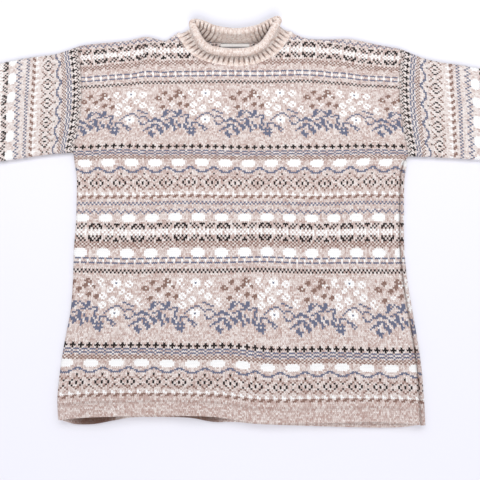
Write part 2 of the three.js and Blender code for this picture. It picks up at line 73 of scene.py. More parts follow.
# Place across, hem of the front and hem of the back
HEMS = np.array([
    (-275, -115, -116), (-255, -112.2, -121.5), (-225, -110, -121.5), (-195, -109.4, -116.5),
    (-165, -109, -112), (-110, -108.4, -111.6), (-75, -108.6, -113), (-40, -110, -118.6),
    (-10, -114, -118.4), (25, -119.4, -121.4), (120, -119.6, -124.6), (200, -118, -126.6),
    (250, -119.6, -126), (279, -121.6, -122.4),
])
HEM_COLUMN = {"front": 1, "back": 2}
# Place across and height of the upper edge, at the shoulders and at the two necklines
SHOULDERS = np.array([
    (-290, 516), (-250, 523), (-195, 529), (-176, 534), (-160, 537.5), (-143, 533), (-127, 529.5),
    (-110, 541), (91, 543.5), (112, 535), (145, 532), (190, 533), (240, 521), (289, 511),
])
FRONT_NECK = np.array([
    (-110, 541.2), (-102, 526), (-90, 508), (-69, 491.5), (-38, 481.5), (-5, 478.3), (28, 482.5),
    (54, 495), (71, 510.5), (82, 527.5), (91, 543.6),
])
BACK_NECK = np.array([
    (-110, 541.2), (-94, 537.5), (-58, 530), (-6, 526), (42, 530), (78, 538.5), (91, 543.6),
])
NECK_LEFT, NECK_RIGHT = -110, 91
UNDERARM_LEFT, UNDERARM_RIGHT, UNDERARM_BLEND = 316, 309, 14
SHOULDER_FADE = 5

# Middle across and up, direction in degrees, half width, half length and rise of each fold
FRONT_FOLDS = [
    (-160, 505, 84, 15, 46, 7), (-236, 470, 62, 20, 60, 2.6), (178, 492, 98, 22, 60, 3),
    (232, 392, 58, 26, 80, 2.4), (-228, 348, 130, 26, 90, 2.8), (214, 250, 118, 30, 100, 2.2),
    (-205, 60, 86, 34, 120, 2.4), (40, 150, 95, 46, 150, 1.8), (190, -20, 80, 34, 90, 2),
    (-55, -70, 92, 30, 62, 1.6), (-140, 492, 100, 7, 34, -3), (-182, 486, 66, 7, 40, -2.4),
    (150, 486, 112, 8, 44, -2), (-252, 418, 74, 8, 52, -1.6), (-246, 300, 118, 9, 60, -1.8),
    (248, 306, 62, 9, 54, -1.8), (236, 178, 100, 10, 64, -1.4), (-236, 178, 82, 10, 70, -1.3),
    (96, 40, 88, 12, 80, 1.0), (-120, 200, 92, 14, 90, 1.1), (226, 60, 96, 9, 60, 1.3),
    (-160, -60, 84, 11, 44, 1.2), (120, -76, 96, 13, 40, 1.2), (-30, 420, 90, 20, 70, 0.9),
]
FOLD_FADE = 26

# Where the front hem rides up: place across, spread, rise, and depth of the painted shade below it
RIDES_UP = [(-222, 42, 6.5, 1), (-64, 40, 2.5, 0.9)]
RIDE_HEIGHT = 38
GAP_SPREAD = 40

# The charts, top row first: k black, w white, o white and raised, s slate, n brown, . the ground
DIAMONDS = [
    "..n...n...n.", ".n...n.n...n", "k...k...k...", "...k..k..k..", "...k..k..k..", "k...k...k...",
    ".n...n.n...n", "..n...n...n.",
]
WAVE = [".....sss....", "....ss.ss...", "..ss.....ss.", "sss.......ss"]
OVALS = ["...ooooo....", "..ooooooo...", "..ooooooo...", "..ooooooo...", "...ooooo...."]
LATTICE = ["n.n.", ".n.n", "n.n.", "...n"]
DOUBLE_WAVE = ["sss.", "...s", "sss.", "...s"]
CROSSES = [".k..", "kkk.", ".k.."]
SMALL_ZIGZAG = ["k.", ".k"]
SLATE_ZIGZAG = ["s.", ".s"]
LARGE_ZIGZAG = ["s...", ".s.s", "..s."]
DASHES = ["sss."]
WHITE_BARS = ["...w"]
ARCHES = [
    ".kk.kk..k.k..kkk..k.k.",
    "kk.k.kk..k.k..k..k.k..",
    "k.k.k.k...k.k...k.k...",
]
WHITE_BAND = ["w.w.w..", ".w.ww.w", "w.w.w.."]
WHITE_AND_BROWN = ["w...", "ww..", "..nn", ".nn."]
DOTS = ["......k....."]
PLAIN = ["."]

# A sprig of slate leaves, 40 stitches to the repeat, with brown and white blossom set over it.
# The spray lists what is laid on it in turn, with the column and the row of its upper left stitch.
SPRIG_REPEAT = 40
SPRIG_ROWS = 34
LEAVES = [
    "......ss.s...ss................ss.......",
    ".....ss.s.ss.ss..................ss.....",
    ".....sss...ssss............sss.....ss...",
    ".....ss.....ss..sss......ss...s.........",
    "....ss....sss.ss..s.....s......s.sss....",
    "ss......ss.......ss....s........s...s...",
    "ssss..ss.ss......s....s..............s.s",
    "..sss....ss.s....s..............s....sss",
    ".....s..sss.s....ss.ssss.........s..s...",
    "sss..sss.ss..ss.s.s.s...s........sss...s",
    "s.ss..sss.ss.ss.ss..s...sss............s",
    "..s.s..ss..s..s.ss.s.s....ss.........sss",
    "..sss..s...ss....ssssss...s.s.......ss..",
    "...sss.....s.......s.s.....s.......s...s",
    "....ss............sssss...............ss",
    "ss..s..............sss................ss",
    "s....................s.................s",
    "s.......................................",
]
LEAVES_FROM = 16
BROWN_LARGE = [".nn.", "nn.n", ".nnn"]
BROWN_SMALL = [".nn", "nnn", ".n."]
BROWN_BUD = ["nn", ".n"]
WHITE_LARGE = [".w.w.", "wwwww", "wwsww", ".wwww", ".w.w."]
WHITE_OPEN = [".ww.", "w.ww", "ww.w", ".ww."]
WHITE_SMALL = [".ww", "w.w", "ww."]
WHITE_BUD = ["w.w", ".w."]
SPRAY = [
    (LEAVES, 0, LEAVES_FROM), (BROWN_SMALL, 4, 4), (BROWN_LARGE, 11, 3), (BROWN_LARGE, 0, 7),
    (BROWN_SMALL, 7, 8), (BROWN_SMALL, 10, 6), (BROWN_BUD, 15, 7), (BROWN_SMALL, 12, 11),
    (BROWN_SMALL, 16, 12), (BROWN_SMALL, 3, 13), (WHITE_BUD, 13, 6), (WHITE_BUD, 8, 12),
    (WHITE_SMALL, 18, 3), (WHITE_BUD, 19, 6), (WHITE_LARGE, 25, 3), (WHITE_OPEN, 32, 4),
    (WHITE_SMALL, 29, 9), (WHITE_SMALL, 23, 8), (WHITE_OPEN, 19, 11), (WHITE_OPEN, 24, 13),
    (WHITE_OPEN, 32, 11), (WHITE_SMALL, 37, 14), (WHITE_BUD, 38, 17), (WHITE_OPEN, 19, 16),
    (WHITE_LARGE, 25, 20),
]


def sprig_chart():
    rows = [["."] * SPRIG_REPEAT for _ in range(SPRIG_ROWS)]
    for shape, column, row in SPRAY:
        for k, line in enumerate(shape):
            for i, mark in enumerate(line):
                if mark != ".":
                    rows[row + k][(column + i) % SPRIG_REPEAT] = mark
    return ["".join(row) for row in rows]


SPRIG = sprig_chart()

# Bands from the hem up: upper edge, chart, and the place across the front where one repeat starts
BODY_BANDS = [
    (-88, PLAIN * 8, 0), (-79.4, PLAIN * 3, 0), (-70.6, WHITE_AND_BROWN, 0), (-68.6, PLAIN, 0),
    (-48.8, DIAMONDS, -150), (-45.2, DOTS, -150), (-36.6, WAVE, -150), (-25.4, OVALS, -166.5),
    (-18.6, LATTICE[:3], -100), (-8.4, DOUBLE_WAVE, -100), (0.7, CROSSES, -132.6), (13.7, PLAIN * 5, 0),
    (109.2, SPRIG, -158), (116.4, SMALL_ZIGZAG, -103), (124.6, PLAIN * 3, 0), (127.4, DASHES, -88),
    (132, WHITE_BARS * 2, -88), (134.9, DASHES, -88), (149.9, OVALS, -82), (161.3, LATTICE, -85),
    (172, ARCHES[::-1], -107), (182.1, WHITE_BAND, 0), (191.9, ARCHES, -107), (194.2, PLAIN, 0),
    (207.3, OVALS, -82), (215.4, LARGE_ZIGZAG, -98), (222.5, PLAIN * 3, 0), (228.5, SLATE_ZIGZAG, -98),
    (234, PLAIN * 2, 0), (245.1, WHITE_AND_BROWN, 0), (248.8, PLAIN, 0), (273, DIAMONDS, -102),
    (275, PLAIN, 0), (278, DOTS, -102), (289.4, WAVE, -102), (302.6, OVALS, -80.5),
    (309, LATTICE[:3], -100), (319, DOUBLE_WAVE, -100), (321, PLAIN, 0), (329.5, CROSSES, -96.6),
    (341.5, PLAIN * 5, 0), (441.5, SPRIG, -148.4), (444, PLAIN, 0), (450, SMALL_ZIGZAG, -103),
    (457.5, PLAIN * 3, 0), (460.5, DASHES, -82), (466, WHITE_BARS * 2, -82), (469, DASHES, -82),
    (479.2, PLAIN * 4, 0), (490.3, LATTICE, -85), (494.4, PLAIN, 0), (504.8, ARCHES[::-1], -109),
    (514.8, WHITE_BAND, 0), (525.2, ARCHES, -109), (527.6, PLAIN, 0), (536.5, LARGE_ZIGZAG, -98),
    (554, PLAIN * 6, 0),
]
YARNS = {".": 0, "w": 1, "o": 1, "k": 2, "s": 3, "n": 4}


def smooth(low, high, value):
    t = np.clip((np.asarray(value, float) - low) / (high - low), 0, 1)
    return t * t * (3 - 2 * t)


def mix(a, b, t):
    return a + (b - a) * t


# A column of a table at places along it, on a smooth curve through the rows
def along(table, at, column=1):
    places, values = table[:, 0], table[:, column]
    at = np.clip(np.asarray(at, float), places[0], places[-1])
    row = np.clip(np.searchsorted(places, at, side="left") - 1, 0, len(places) - 2)
    before = np.maximum(np.arange(len(places)) - 1, 0)
    after = np.minimum(np.arange(len(places)) + 1, len(places) - 1)
    slope = (values[after] - values[before]) / (places[after] - places[before])
    span = places[row + 1] - places[row]
    t = (at - places[row]) / span
    rest = 1 - t
    return (
        (1 + 2 * t) * rest**2 * values[row]
        + t * rest**2 * span * slope[row]
        + t**2 * (3 - 2 * t) * values[row + 1]
        - t**2 * rest * span * slope[row + 1]
    )


def left_edge(y):
    return along(SIDES, y, 1)


def right_edge(y):
    return along(SIDES, y, 2)


def left_open(y):
    return smooth(UNDERARM_LEFT - UNDERARM_BLEND, UNDERARM_LEFT, y)


def right_open(y):
    return smooth(UNDERARM_RIGHT - UNDERARM_BLEND, UNDERARM_RIGHT, y)


# Upper edge of a panel with this neckline, 1 mm inside its drawn line
def top_edge(neck, x):
    inside = (x > NECK_LEFT) & (x < NECK_RIGHT)
    return np.where(inside, along(neck, x), along(SHOULDERS, x)) - 1


# How far a list of folds lifts the cloth at a place
def fold_rise(folds, x, y):
    rise = 0
    for fold_x, fold_y, turn, width, length, height in folds:
        turn = math.radians(turn)
        lengthwise = (x - fold_x) * math.cos(turn) + (y - fold_y) * math.sin(turn)
        crosswise = (y - fold_y) * math.cos(turn) - (x - fold_x) * math.sin(turn)
        rise = rise + height * np.exp(-((lengthwise / length) ** 2) - (crosswise / width) ** 2)
    return rise


# Small unevenness of hand-fed knitting, the same every run
def pucker(x, y):
    return (
        0.30 * np.sin(x / 5.3 + y / 11.9) * np.sin(y / 7.1 - x / 15.7)
        + 0.26 * np.sin(x / 9.1 - y / 6.7 + 1.1) * np.sin(y / 13.3 + x / 21)
    )


# Rows of stitches from the bands: the height of each row's lower edge, and its chart row with the
# lower edge and the start of its band
def rows_of(lowest, bands):
    edges, charts = [lowest], []
    for high, chart, start in bands:
        low = edges[-1]
        for k in range(len(chart)):
            edges.append(mix(edges[-1], high, 1 / (len(chart) - k)))
            charts.append((chart[len(chart) - 1 - k], low, start))
    return np.array(edges), charts


# The yarn of every stitch, and whether it is raised; start_column turns a start into a column
def chart_grid(charts, count, start_column):
    yarn = np.zeros((len(charts) + 1, count), int)
    raised = np.zeros((len(charts) + 1, count))
    for j, (row, low, start) in enumerate(charts):
        width = len(row)
        first = start_column(low, start)
        for i in range(count):
            mark = row[(i - first) % width]
            yarn[j, i] = YARNS[mark]
            raised[j, i] = mark == "o"
    return yarn, raised


row_edges, body_charts = rows_of(HEM_LINE, BODY_BANDS)


# The column where a repeat starts: its place is measured from the middle, in the band's own width
def body_column(low, start):
    return round((start * HALF_WIDTH / -left_edge(low) + HALF_WIDTH) / STITCH - 0.5)


body_yarn, body_raised = chart_grid(body_charts, STITCHES, body_column)


# Height up the body, and how far the rows hang lower there on the right than on the left
RIGHT_DROP = np.array([(HEM_LINE, 11), (-77, 9), (-58, 8), (-3, 7), (60, 3.5), (115, 0)])
SHOULDER_SAG = 18
SAG_FROM, SAG_TO = 330, 520
HEM_EASES_TO = -15


# Height up the panel of a place in the rows, at a column's place across: the rows sag towards the
# armholes, drop to the right, follow the hem near it and wave a little everywhere
def row_height(row, x, side):
    base = np.interp(row, np.arange(len(row_edges)), row_edges)
    sag = SHOULDER_SAG * np.clip((base - SAG_FROM) / (SAG_TO - SAG_FROM), 0, 1)
    sag = sag * smooth(90, 285, np.abs(x))
    to_right = smooth(-40, 60, x)
    drop = to_right * np.interp(base, RIGHT_DROP[:, 0], RIGHT_DROP[:, 1])
    own_hem = along(HEMS, x, HEM_COLUMN[side]) - (HEM_LINE - RIGHT_DROP[0, 1] * to_right)
    near_hem = 1 - smooth(HEM_LINE, HEM_EASES_TO, base)
    wave = 0.9 * np.sin(x / 57 + base / 83) + 0.6 * np.sin(x / 24 - base / 96 + 1.3)
    return base - sag - drop + own_hem * near_hem + wave * smooth(-100, -40, base)


# Where the outer and the inner cloth run across the panel, and how far up from its middle plane.
# The left edge turns down to meet the other panel, and the back wraps round the right side.
def cross_section(side, across, y, radius, wall):
    left, right = left_edge(y), right_edge(y)
    open_left, open_right = left_open(y), right_open(y)
    quarter = math.pi / 2 * BODY_HEIGHT / 2
    share = np.clip((across + HALF_WIDTH) / quarter, 0, 1)
    angle = mix(SEAM_GAP / 2 / radius, math.pi / 2, share)
    in_turn = across < quarter - HALF_WIDTH
    to_middle = np.clip((across + HALF_WIDTH - quarter) / (HALF_WIDTH - quarter), 0, 1)
    from_middle = np.clip(across / HALF_WIDTH, 0, 1)
    seam_x = mix(right - SIDE_SEAM_INSET - SEAM_GAP / 2, right, open_right)
    end_x = seam_x if side == "front" else right - radius
    straight_x = np.where(across < 0, (left + radius) * (1 - to_middle), end_x * from_middle)

    whole = math.pi * BODY_HEIGHT / 2
    on_top = SIDE_SEAM_INSET - SEAM_GAP / 2 - BODY_HEIGHT / 2
    wrapped = across > HALF_WIDTH
    beyond = np.clip(across - HALF_WIDTH, 0, whole + on_top)
    wrap_angle = -math.pi / 2 + np.minimum(beyond / whole, 1) * math.pi
    back_in = np.maximum(beyond - whole, 0)
    wrap_flat_x = right - radius + radius * beyond / (whole + on_top)

    layers = []
    for reach in (radius, radius - wall):
        turned_x = left + radius - reach * np.cos(angle)
        x = np.where(in_turn, mix(turned_x, left + radius * share, open_left), straight_x)
        up = np.where(in_turn, mix(reach * np.sin(angle), reach, open_left), reach)
        if side == "back":
            wrap_x = right - radius + reach * np.cos(wrap_angle) - back_in
            x = np.where(wrapped, mix(wrap_x, wrap_flat_x, open_right), x)
            up = np.where(wrapped, mix(-reach * np.sin(wrap_angle), reach, open_right), up)
        layers.append((reach, x, up))
    return layers


# Outer and inner points of a panel: across is the place in its width, measured along the cloth
def panel_points(side, across, y, turned_share, neck):
    up_from_hem = y - along(HEMS, across, HEM_COLUMN[side])
    radius = mix(HEM_HEIGHT, BODY_HEIGHT, smooth(HEM_DEPTH, HEM_DEPTH + HEM_FADE, up_from_hem)) / 2
    wall = mix(HEM_WALL, WALL, smooth(HEM_DEPTH, HEM_DEPTH + HEM_FADE / 4, up_from_hem))
    left, right = left_edge(y), right_edge(y)
    open_left, open_right = left_open(y), right_open(y)

    # the shoulder edge turns down over the end of the panel, and the neckline stays open
    turned = np.maximum(
        1 - smooth(NECK_LEFT - SHOULDER_FADE, NECK_LEFT, across),
        smooth(NECK_RIGHT, NECK_RIGHT + SHOULDER_FADE, across),
    )
    top = top_edge(neck, across)
    over = turned_share < 1
    angle = mix(SEAM_GAP / 2 / radius, math.pi / 2, turned_share)
    lowered = np.where(over, mix(1, np.sin(angle), turned), 1)
    layers = []
    for reach, x, up in cross_section(side, across, y, radius, wall):
        turned_y = np.where(over, mix(y, top - radius + reach * np.cos(angle), turned), y)
        layers.append((x, turned_y, up * lowered))
    (outer_x, outer_y, outer_up), (inner_x, inner_y, inner_up) = layers

    # the seams and the hem's stitching draw the cloth in, and the folds and the riding hem lift it
    from_left, from_right = outer_x - left - radius, right - SIDE_SEAM_INSET - outer_x
    stitched = STITCHING_DIP * np.exp(-(((up_from_hem - HEM_STITCHING) / STITCHING_WIDTH) ** 2))
    armholes = open_left * np.exp(-(((outer_x - left) / ARMHOLE_WIDTH) ** 2))
    armholes = armholes + open_right * np.exp(-(((right - outer_x) / ARMHOLE_WIDTH) ** 2))
    side_seam = np.exp(-((from_right / SIDE_SEAM_WIDTH) ** 2)) * (1 - open_right)
    relief = smooth(0, EDGE_FADE, from_left) * smooth(0, EDGE_FADE, from_right) * pucker(outer_x, y)
    relief = relief * (turned_share == 1) - stitched
    lift, hem_gap_shade = 0, 0
    for place, spread, rise, dark in RIDES_UP:
        lift = lift + rise * np.exp(-(((across - place) / spread) ** 2))
        hem_gap_shade = hem_gap_shade + dark * np.exp(-(((across - place) / GAP_SPREAD) ** 4))
    if side == "front":
        inside = smooth(0, FOLD_FADE, from_left) * smooth(0, FOLD_FADE, from_right)
        inside = inside * smooth(0, FOLD_FADE, top - radius - y)
        folds = inside * fold_rise(FRONT_FOLDS, outer_x, y)
        relief = relief - ARMHOLE_DIP * armholes - SIDE_SEAM_DIP * side_seam
        lift = lift * (1 - smooth(0, RIDE_HEIGHT, up_from_hem))
        outer_z = radius + outer_up + folds + relief + lift
        inner_z = radius + inner_up + folds + lift
        shade = 0 * hem_gap_shade
    else:
        relief = np.minimum(relief * (across < HALF_WIDTH - SIDE_SEAM_INSET), 0)
        outer_z = np.maximum(radius - outer_up - relief - BACK_ARMHOLE_DIP * armholes, 0)
        inner_z = radius - inner_up
        # where the front hem rides up, what shows between the two hems is in shade
        shade = np.clip(hem_gap_shade, 0, 1) * (1 - smooth(30, 60, up_from_hem))
    # painted shade in the dips of the armhole seams, the side seam and the hem's stitching
    hollow = np.clip(0.05 * armholes + 0.5 * side_seam + 0.5 * stitched, 0, 1)
    return (
        np.stack([outer_x, outer_y, outer_z], -1),
        np.stack([inner_x, inner_y, inner_z], -1),
        np.concatenate([hollow, shade]),
    )


# Faces between strips of stitches that begin level; where one strip is longer, a fan fills the end
def lace(first, counts):
    faces = []
    for i in range(len(counts) - 1):
        a, b, la, lb = first[i], first[i + 1], counts[i] - 1, counts[i + 1] - 1
        for k in range(min(la, lb)):
            faces.append((a + k, b + k, b + k + 1, a + k + 1))
        for k in range(la, lb):
            faces.append((a + la, b + k, b + k + 1))
        for k in range(lb, la):
            faces.append((b + lb, a + k + 1, a + k))
    return faces


# A knitted shell as a mesh: the outer cloth, the inner cloth and the rims between them. Its UV map
# counts stitches and rows, and every face knows its own yarn and that of the stitch above.
def knitted(name, outer, inner, faces, rims, stitches, yarn, hollow):
    count = len(outer)
    corners = [tuple(face) for face in faces]
    corners += [tuple(count + k for k in reversed(face)) for face in faces]
    corners += [(b, a, count + a, count + b) for a, b in rims]
    points = np.concatenate([outer, inner])
    points = (points + (PLACE_IN_FRAME[0], PLACE_IN_FRAME[1], 0)) / 1000
    # the shell's volume tells whether its faces point outwards
    sizes = np.array([len(face) for face in corners])
    flat = np.concatenate([np.array(face) for face in corners])
    starts = np.concatenate([[0], np.cumsum(sizes)[:-1]])
    a, b, c = points[flat[starts]], points[flat[starts + 1]], points[flat[starts + 2]]
    d = points[flat[starts + sizes - 1]]
    volume = (a * np.cross(b, c)).sum() + ((a * np.cross(c, d)).sum(-1) * (sizes == 4)).sum()
    if volume < 0:
        corners = [tuple(reversed(face)) for face in corners]
        flat = np.concatenate([np.array(face) for face in corners])
    mesh = bpy.data.meshes.new(name)
    mesh.from_pydata(points.tolist(), [], corners)
    mesh.update()
    uv = mesh.uv_layers.new(name="stitches")
    both = np.concatenate([stitches, stitches])
    middles = np.add.reduceat(both[flat], starts, axis=0) / sizes[:, None]
    uv.data.foreach_set("uv", both[flat].astype(np.float32).ravel())
    column = np.clip(np.floor(middles[:, 0]).astype(int), 0, yarn.shape[1] - 1)
    row = np.clip(np.floor(middles[:, 1]).astype(int), 0, yarn.shape[0] - 2)
    for label, values in (("yarn", yarn[row, column]), ("yarn_above", yarn[row + 1, column])):
        layer = mesh.attributes.new(label, "FLOAT", "FACE")
        layer.data.foreach_set("value", values.astype(np.float32))
    # painted shade for each point, which the knit and tape finishes blend in as darkness
    shadow = mesh.attributes.new("hollow", "FLOAT", "POINT")
    shadow.data.foreach_set("value", np.asarray(hollow, np.float32))
    mesh.polygons.foreach_set("use_smooth", np.ones(len(corners), bool))
    piece = bpy.data.objects.new(name, mesh)
    bpy.context.scene.collection.objects.link(piece)
    return piece


TURN_ROWS = 4


# A front or back as strips of stitches, one for each column of knitting, with a turned upper edge
def panel(name, side, neck, columns, yarn, raised):
    radius = BODY_HEIGHT / 2
    across_all = [-HALF_WIDTH + i * STITCH for i in range(columns + 1)]
    first, counts, across, heights, shares, marks = [], [], [], [], [], []
    for i, place in enumerate(across_all):
        place_in_width = min(place, HALF_WIDTH)
        top = float(top_edge(neck, np.float64(place_in_width)))
        limit = top - radius
        rows = np.arange(len(row_edges))
        ys = row_height(rows, place_in_width, side)
        keep = int((ys < limit - LEAST_STITCH).sum())
        last_row = float(np.interp(limit, ys, rows))
        first.append(len(across))
        counts.append(keep + 1 + TURN_ROWS)
        for k in range(keep):
            heights.append(ys[k])
            shares.append(1.0)
            marks.append((i, k))
        heights.append(limit)
        shares.append(1.0)
        marks.append((i, last_row))
        for k in range(1, TURN_ROWS + 1):
            share = 1 - k / TURN_ROWS
            heights.append(limit + radius * math.sin((1 - share) * math.pi / 2))
            shares.append(share)
            marks.append((i, float(np.interp(heights[-1], ys, rows))))
        across.extend([place] * counts[-1])
    # the strips are laced up to the turned edge, which has the same number of rows in every column
    flat_counts = [count - TURN_ROWS for count in counts]
    faces = lace(first, flat_counts)
    for i in range(columns):
        a = first[i] + flat_counts[i] - 1
        b = first[i + 1] + flat_counts[i + 1] - 1
        for k in range(TURN_ROWS):
            faces.append((a + k, b + k, b + k + 1, a + k + 1))
    ends = [first[i] + counts[i] - 1 for i in range(columns + 1)]
    rims = [(first[i], first[i + 1]) for i in range(columns)]
    rims += [(ends[i + 1], ends[i]) for i in range(columns)]
    rims += [(first[0] + k + 1, first[0] + k) for k in range(counts[0] - 1)]
    rims += [(first[-1] + k, first[-1] + k + 1) for k in range(counts[-1] - 1)]
    across, heights, shares = np.array(across), np.array(heights), np.array(shares)
    outer, inner, hollow = panel_points(side, across, heights, shares, neck)
    marks = np.array(marks, float)
    if side == "front":
        # a raised stitch lifts each of its four corners by a quarter of a millimetre
        rows_up, columns_over = raised.shape
        spread = np.zeros((rows_up + 1, columns_over + 1))
        for k in (0, 1):
            for i in (0, 1):
                spread[k:rows_up + k, i:columns_over + i] += raised / 4
        column = np.clip(marks[:, 0].astype(int), 0, columns_over)
        row = np.clip(np.round(marks[:, 1]).astype(int), 0, rows_up)
        outer[:, 2] += spread[row, column] * (shares == 1)
    return knitted(name, outer, inner, faces, rims, marks, yarn, hollow)


class Shade:
    """A socket of a finish: sums on it add Math nodes, and node adds any other."""

    def __init__(self, tree, socket=None):
        self.tree = tree
        self.socket = socket

    def node(self, kind, settings, inputs, output=0):
        made = self.tree.nodes.new(kind)
        for key, value in settings.items():
            if key == "stops":
                ramp = made.color_ramp
                while len(ramp.elements) < len(value):
                    ramp.elements.new(1)
                for element, (place, colour) in zip(ramp.elements, value):
                    element.position = place
                    element.color = colour
            elif key == "steps":
                made.color_ramp.interpolation = value
            else:
                setattr(made, key, value)
        for key, value in inputs.items():
            if isinstance(value, Shade):
                self.tree.links.new(value.socket, made.inputs[key])
            else:
                made.inputs[key].default_value = value
        return Shade(self.tree, made.outputs[output] if made.outputs else None)

    def math(self, operation, *values):
        return self.node("ShaderNodeMath", {"operation": operation}, dict(enumerate(values)))

    def floor(self):
        return self.math("FLOOR", self)

    def fraction(self):
        return self.math("FRACT", self)

    def blend(self, other, factor):
        return self.node("ShaderNodeMix", {"data_type": "RGBA"}, {0: factor, 6: self, 7: other}, 2)

    def attribute(self, name):
        return self.node("ShaderNodeAttribute", {"attribute_name": name}, {}, "Fac")

    def __abs__(self):
        return self.math("ABSOLUTE", self)

    def __add__(self, other):
        return self.math("ADD", self, other)

    __radd__ = __add__

    def __sub__(self, other):
        return self.math("SUBTRACT", self, other)

    def __rsub__(self, other):
        return self.math("SUBTRACT", other, self)

    def __mul__(self, other):
        return self.math("MULTIPLY", self, other)

    __rmul__ = __mul__

    def __pow__(self, other):
        return self.math("POWER", self, other)

    def __gt__(self, other):
        return self.math("GREATER_THAN", self, other)

    def __lt__(self, other):
        return self.math("LESS_THAN", self, other)


# A new material with no nodes yet, and the Shade that its nodes are added with
def empty_finish(name):
    finish = bpy.data.materials.new(name)
    finish.use_nodes = True
    finish.node_tree.nodes.clear()
    return finish, Shade(finish.node_tree)


# A colour as a shader takes it, from red, green and blue up to 255
def colour(red, green, blue):
    parts = [part / 255 for part in (red, green, blue)]
    return (*[part / 12.92 if part <= 0.04045 else ((part + 0.055) / 1.055) ** 2.4 for part in parts], 1)


OATMEAL = colour(211, 195, 188)
PALE_FLECK = colour(235, 227, 222)
ROSE_FLECK = colour(179, 150, 141)
WHITE_YARN = colour(246, 245, 243)
BLACK_YARN = colour(6, 5, 9)
SLATE_YARN = colour(98, 104, 126)
BROWN_YARN = colour(132, 103, 92)
SHADE_BETWEEN_STITCHES = colour(84, 52, 38)
ROSY_ROWS = 12
BUMP_DEPTH = 0.0007


# Stocking stitch: each stitch is a V whose foot sits in the one below, in its own yarn. The marl
# runs from rose through its middle colour to pale, and the last argument sets the painted shade between
# stitches.
def stocking_stitch(name, patterned, rose, middle, pale, groove_shade):
    finish, start = empty_finish(name)
    grid = start.node("ShaderNodeUVMap", {"uv_map": "stitches"}, {})
    across = start.node("ShaderNodeSeparateXYZ", {}, {0: grid}, 0)
    up = start.node("ShaderNodeSeparateXYZ", {}, {0: grid}, 1)
    from_middle = abs(across.fraction() - 0.5) * 2
    rise = (1 - from_middle) * 0.5
    chevron = up + rise
    above = up.fraction() + rise > 1
    knit_row = chevron.floor()
    stitch = start.node("ShaderNodeCombineXYZ", {}, {0: across.floor(), 1: knit_row})
    chance = start.node("ShaderNodeTexWhiteNoise", {"noise_dimensions": "2D"}, {"Vector": stitch})
    strand = start.node("ShaderNodeCombineXYZ", {}, {0: across * 3.3, 1: knit_row * 1.3})
    fleck = start.node(
        "ShaderNodeTexNoise", {"noise_dimensions": "2D"}, {"Vector": strand, "Scale": 1.0, "Detail": 2.0}
    )
    fine = start.node("ShaderNodeCombineXYZ", {}, {0: across * 2.3 + knit_row * 3.1, 1: up * 3.0})
    fuzz = start.node(
        "ShaderNodeTexNoise", {"noise_dimensions": "2D"}, {"Vector": fine, "Scale": 1.4, "Detail": 3.0}
    )
    # how pale the twist is here: long flecks, fine fuzz, a chance for each stitch, and the cone
    twist = fleck * 1.5 + fuzz * 0.6 + chance * 0.45 - 0.775 + start.attribute("paler") * 0.16
    if patterned:
        # the hems are worked in a rosier end of the marl
        twist = twist - (up < ROSY_ROWS) * 0.09
    ground = start.node(
        "ShaderNodeValToRGB",
        {"stops": [(0.28, rose), (0.44, middle), (0.56, middle), (0.74, pale)]},
        {"Fac": twist},
    )
    shade = ground
    if patterned:
        own = start.attribute("yarn")
        yarn = own + (start.attribute("yarn_above") - own) * above
        dyed = start.node(
            "ShaderNodeValToRGB",
            {
                "steps": "CONSTANT",
                "stops": [(0, WHITE_YARN), (0.4, BLACK_YARN), (0.6, SLATE_YARN), (0.8, BROWN_YARN)],
            },
            {"Fac": yarn * 0.2 + 0.1},
        )
        worn = dyed.blend(ground, fuzz * 0.05)
        shade = ground.blend(worn, yarn > 0.5)
    leg = chevron.fraction() * 2 - 1
    groove = (1 - from_middle) ** 5 * 0.5 + from_middle**6 * 0.75
    roundness = (1 - leg * leg) * (1 - groove)
    # painted shade: darker between the stitch legs and wherever the piece's points carry painted shade
    between = (1 - roundness) ** 3 * groove_shade
    hollow = start.attribute("hollow")
    shade = shade.blend(SHADE_BETWEEN_STITCHES, between + hollow * 0.9 - between * hollow)
    relief = {"Strength": 0.75, "Distance": BUMP_DEPTH, "Height": roundness + fuzz * 0.35}
    wool = start.node(
        "ShaderNodeBsdfPrincipled",
        {},
        {
            "Base Color": shade,
            "Roughness": 0.92,
            "Specular IOR Level": 0.18,
            "Sheen Weight": 0.04,
            "Sheen Roughness": 0.5,
            "Normal": start.node("ShaderNodeBump", {}, relief),
        },
    )
    start.node("ShaderNodeOutputMaterial", {}, {"Surface": wool})
    return finish


patterned_knit = stocking_stitch("patterned_marl_knit", True, ROSE_FLECK, OATMEAL, PALE_FLECK, 0.22)
front = panel("knit_front", "front", FRONT_NECK, STITCHES, body_yarn, body_raised)
front.data.materials.append(patterned_knit)
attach(front, "root")
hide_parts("front")


# The back: the same knit and bands, with a shallow neck. It lies flat on the surface underneath,
# its hem shows a little below the front's, and it wraps round the right side to the seam.
BACK_STITCHES = STITCHES + 6
back_yarn, back_raised = chart_grid(body_charts, BACK_STITCHES, body_column)
back = panel("knit_back", "back", BACK_NECK, BACK_STITCHES, back_yarn, back_raised)
back.data.materials.append(patterned_knit)
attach(back, "root")
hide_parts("back")


# The sleeves: one knitted tube each, laid flat, set on at the armhole and narrowing by lost stitches
# along the underarm to a turned plain hem at the wrist. The bands run round them.
SLEEVE_STITCH = 3.0
SLEEVE_LENGTH = 460
WRIST_HEM = HEM_DEPTH / SLEEVE_LENGTH
WRIST_FADE = 1.6 * WRIST_HEM
HEAD_REACH = 0.25
WRIST_FROM = 400
STRETCH_FROM, STRETCH_TO = 12, 130
ARMHOLE_GAP = 0.5
SEAM_WIDTH = 2.2
PALER_CONE = 1

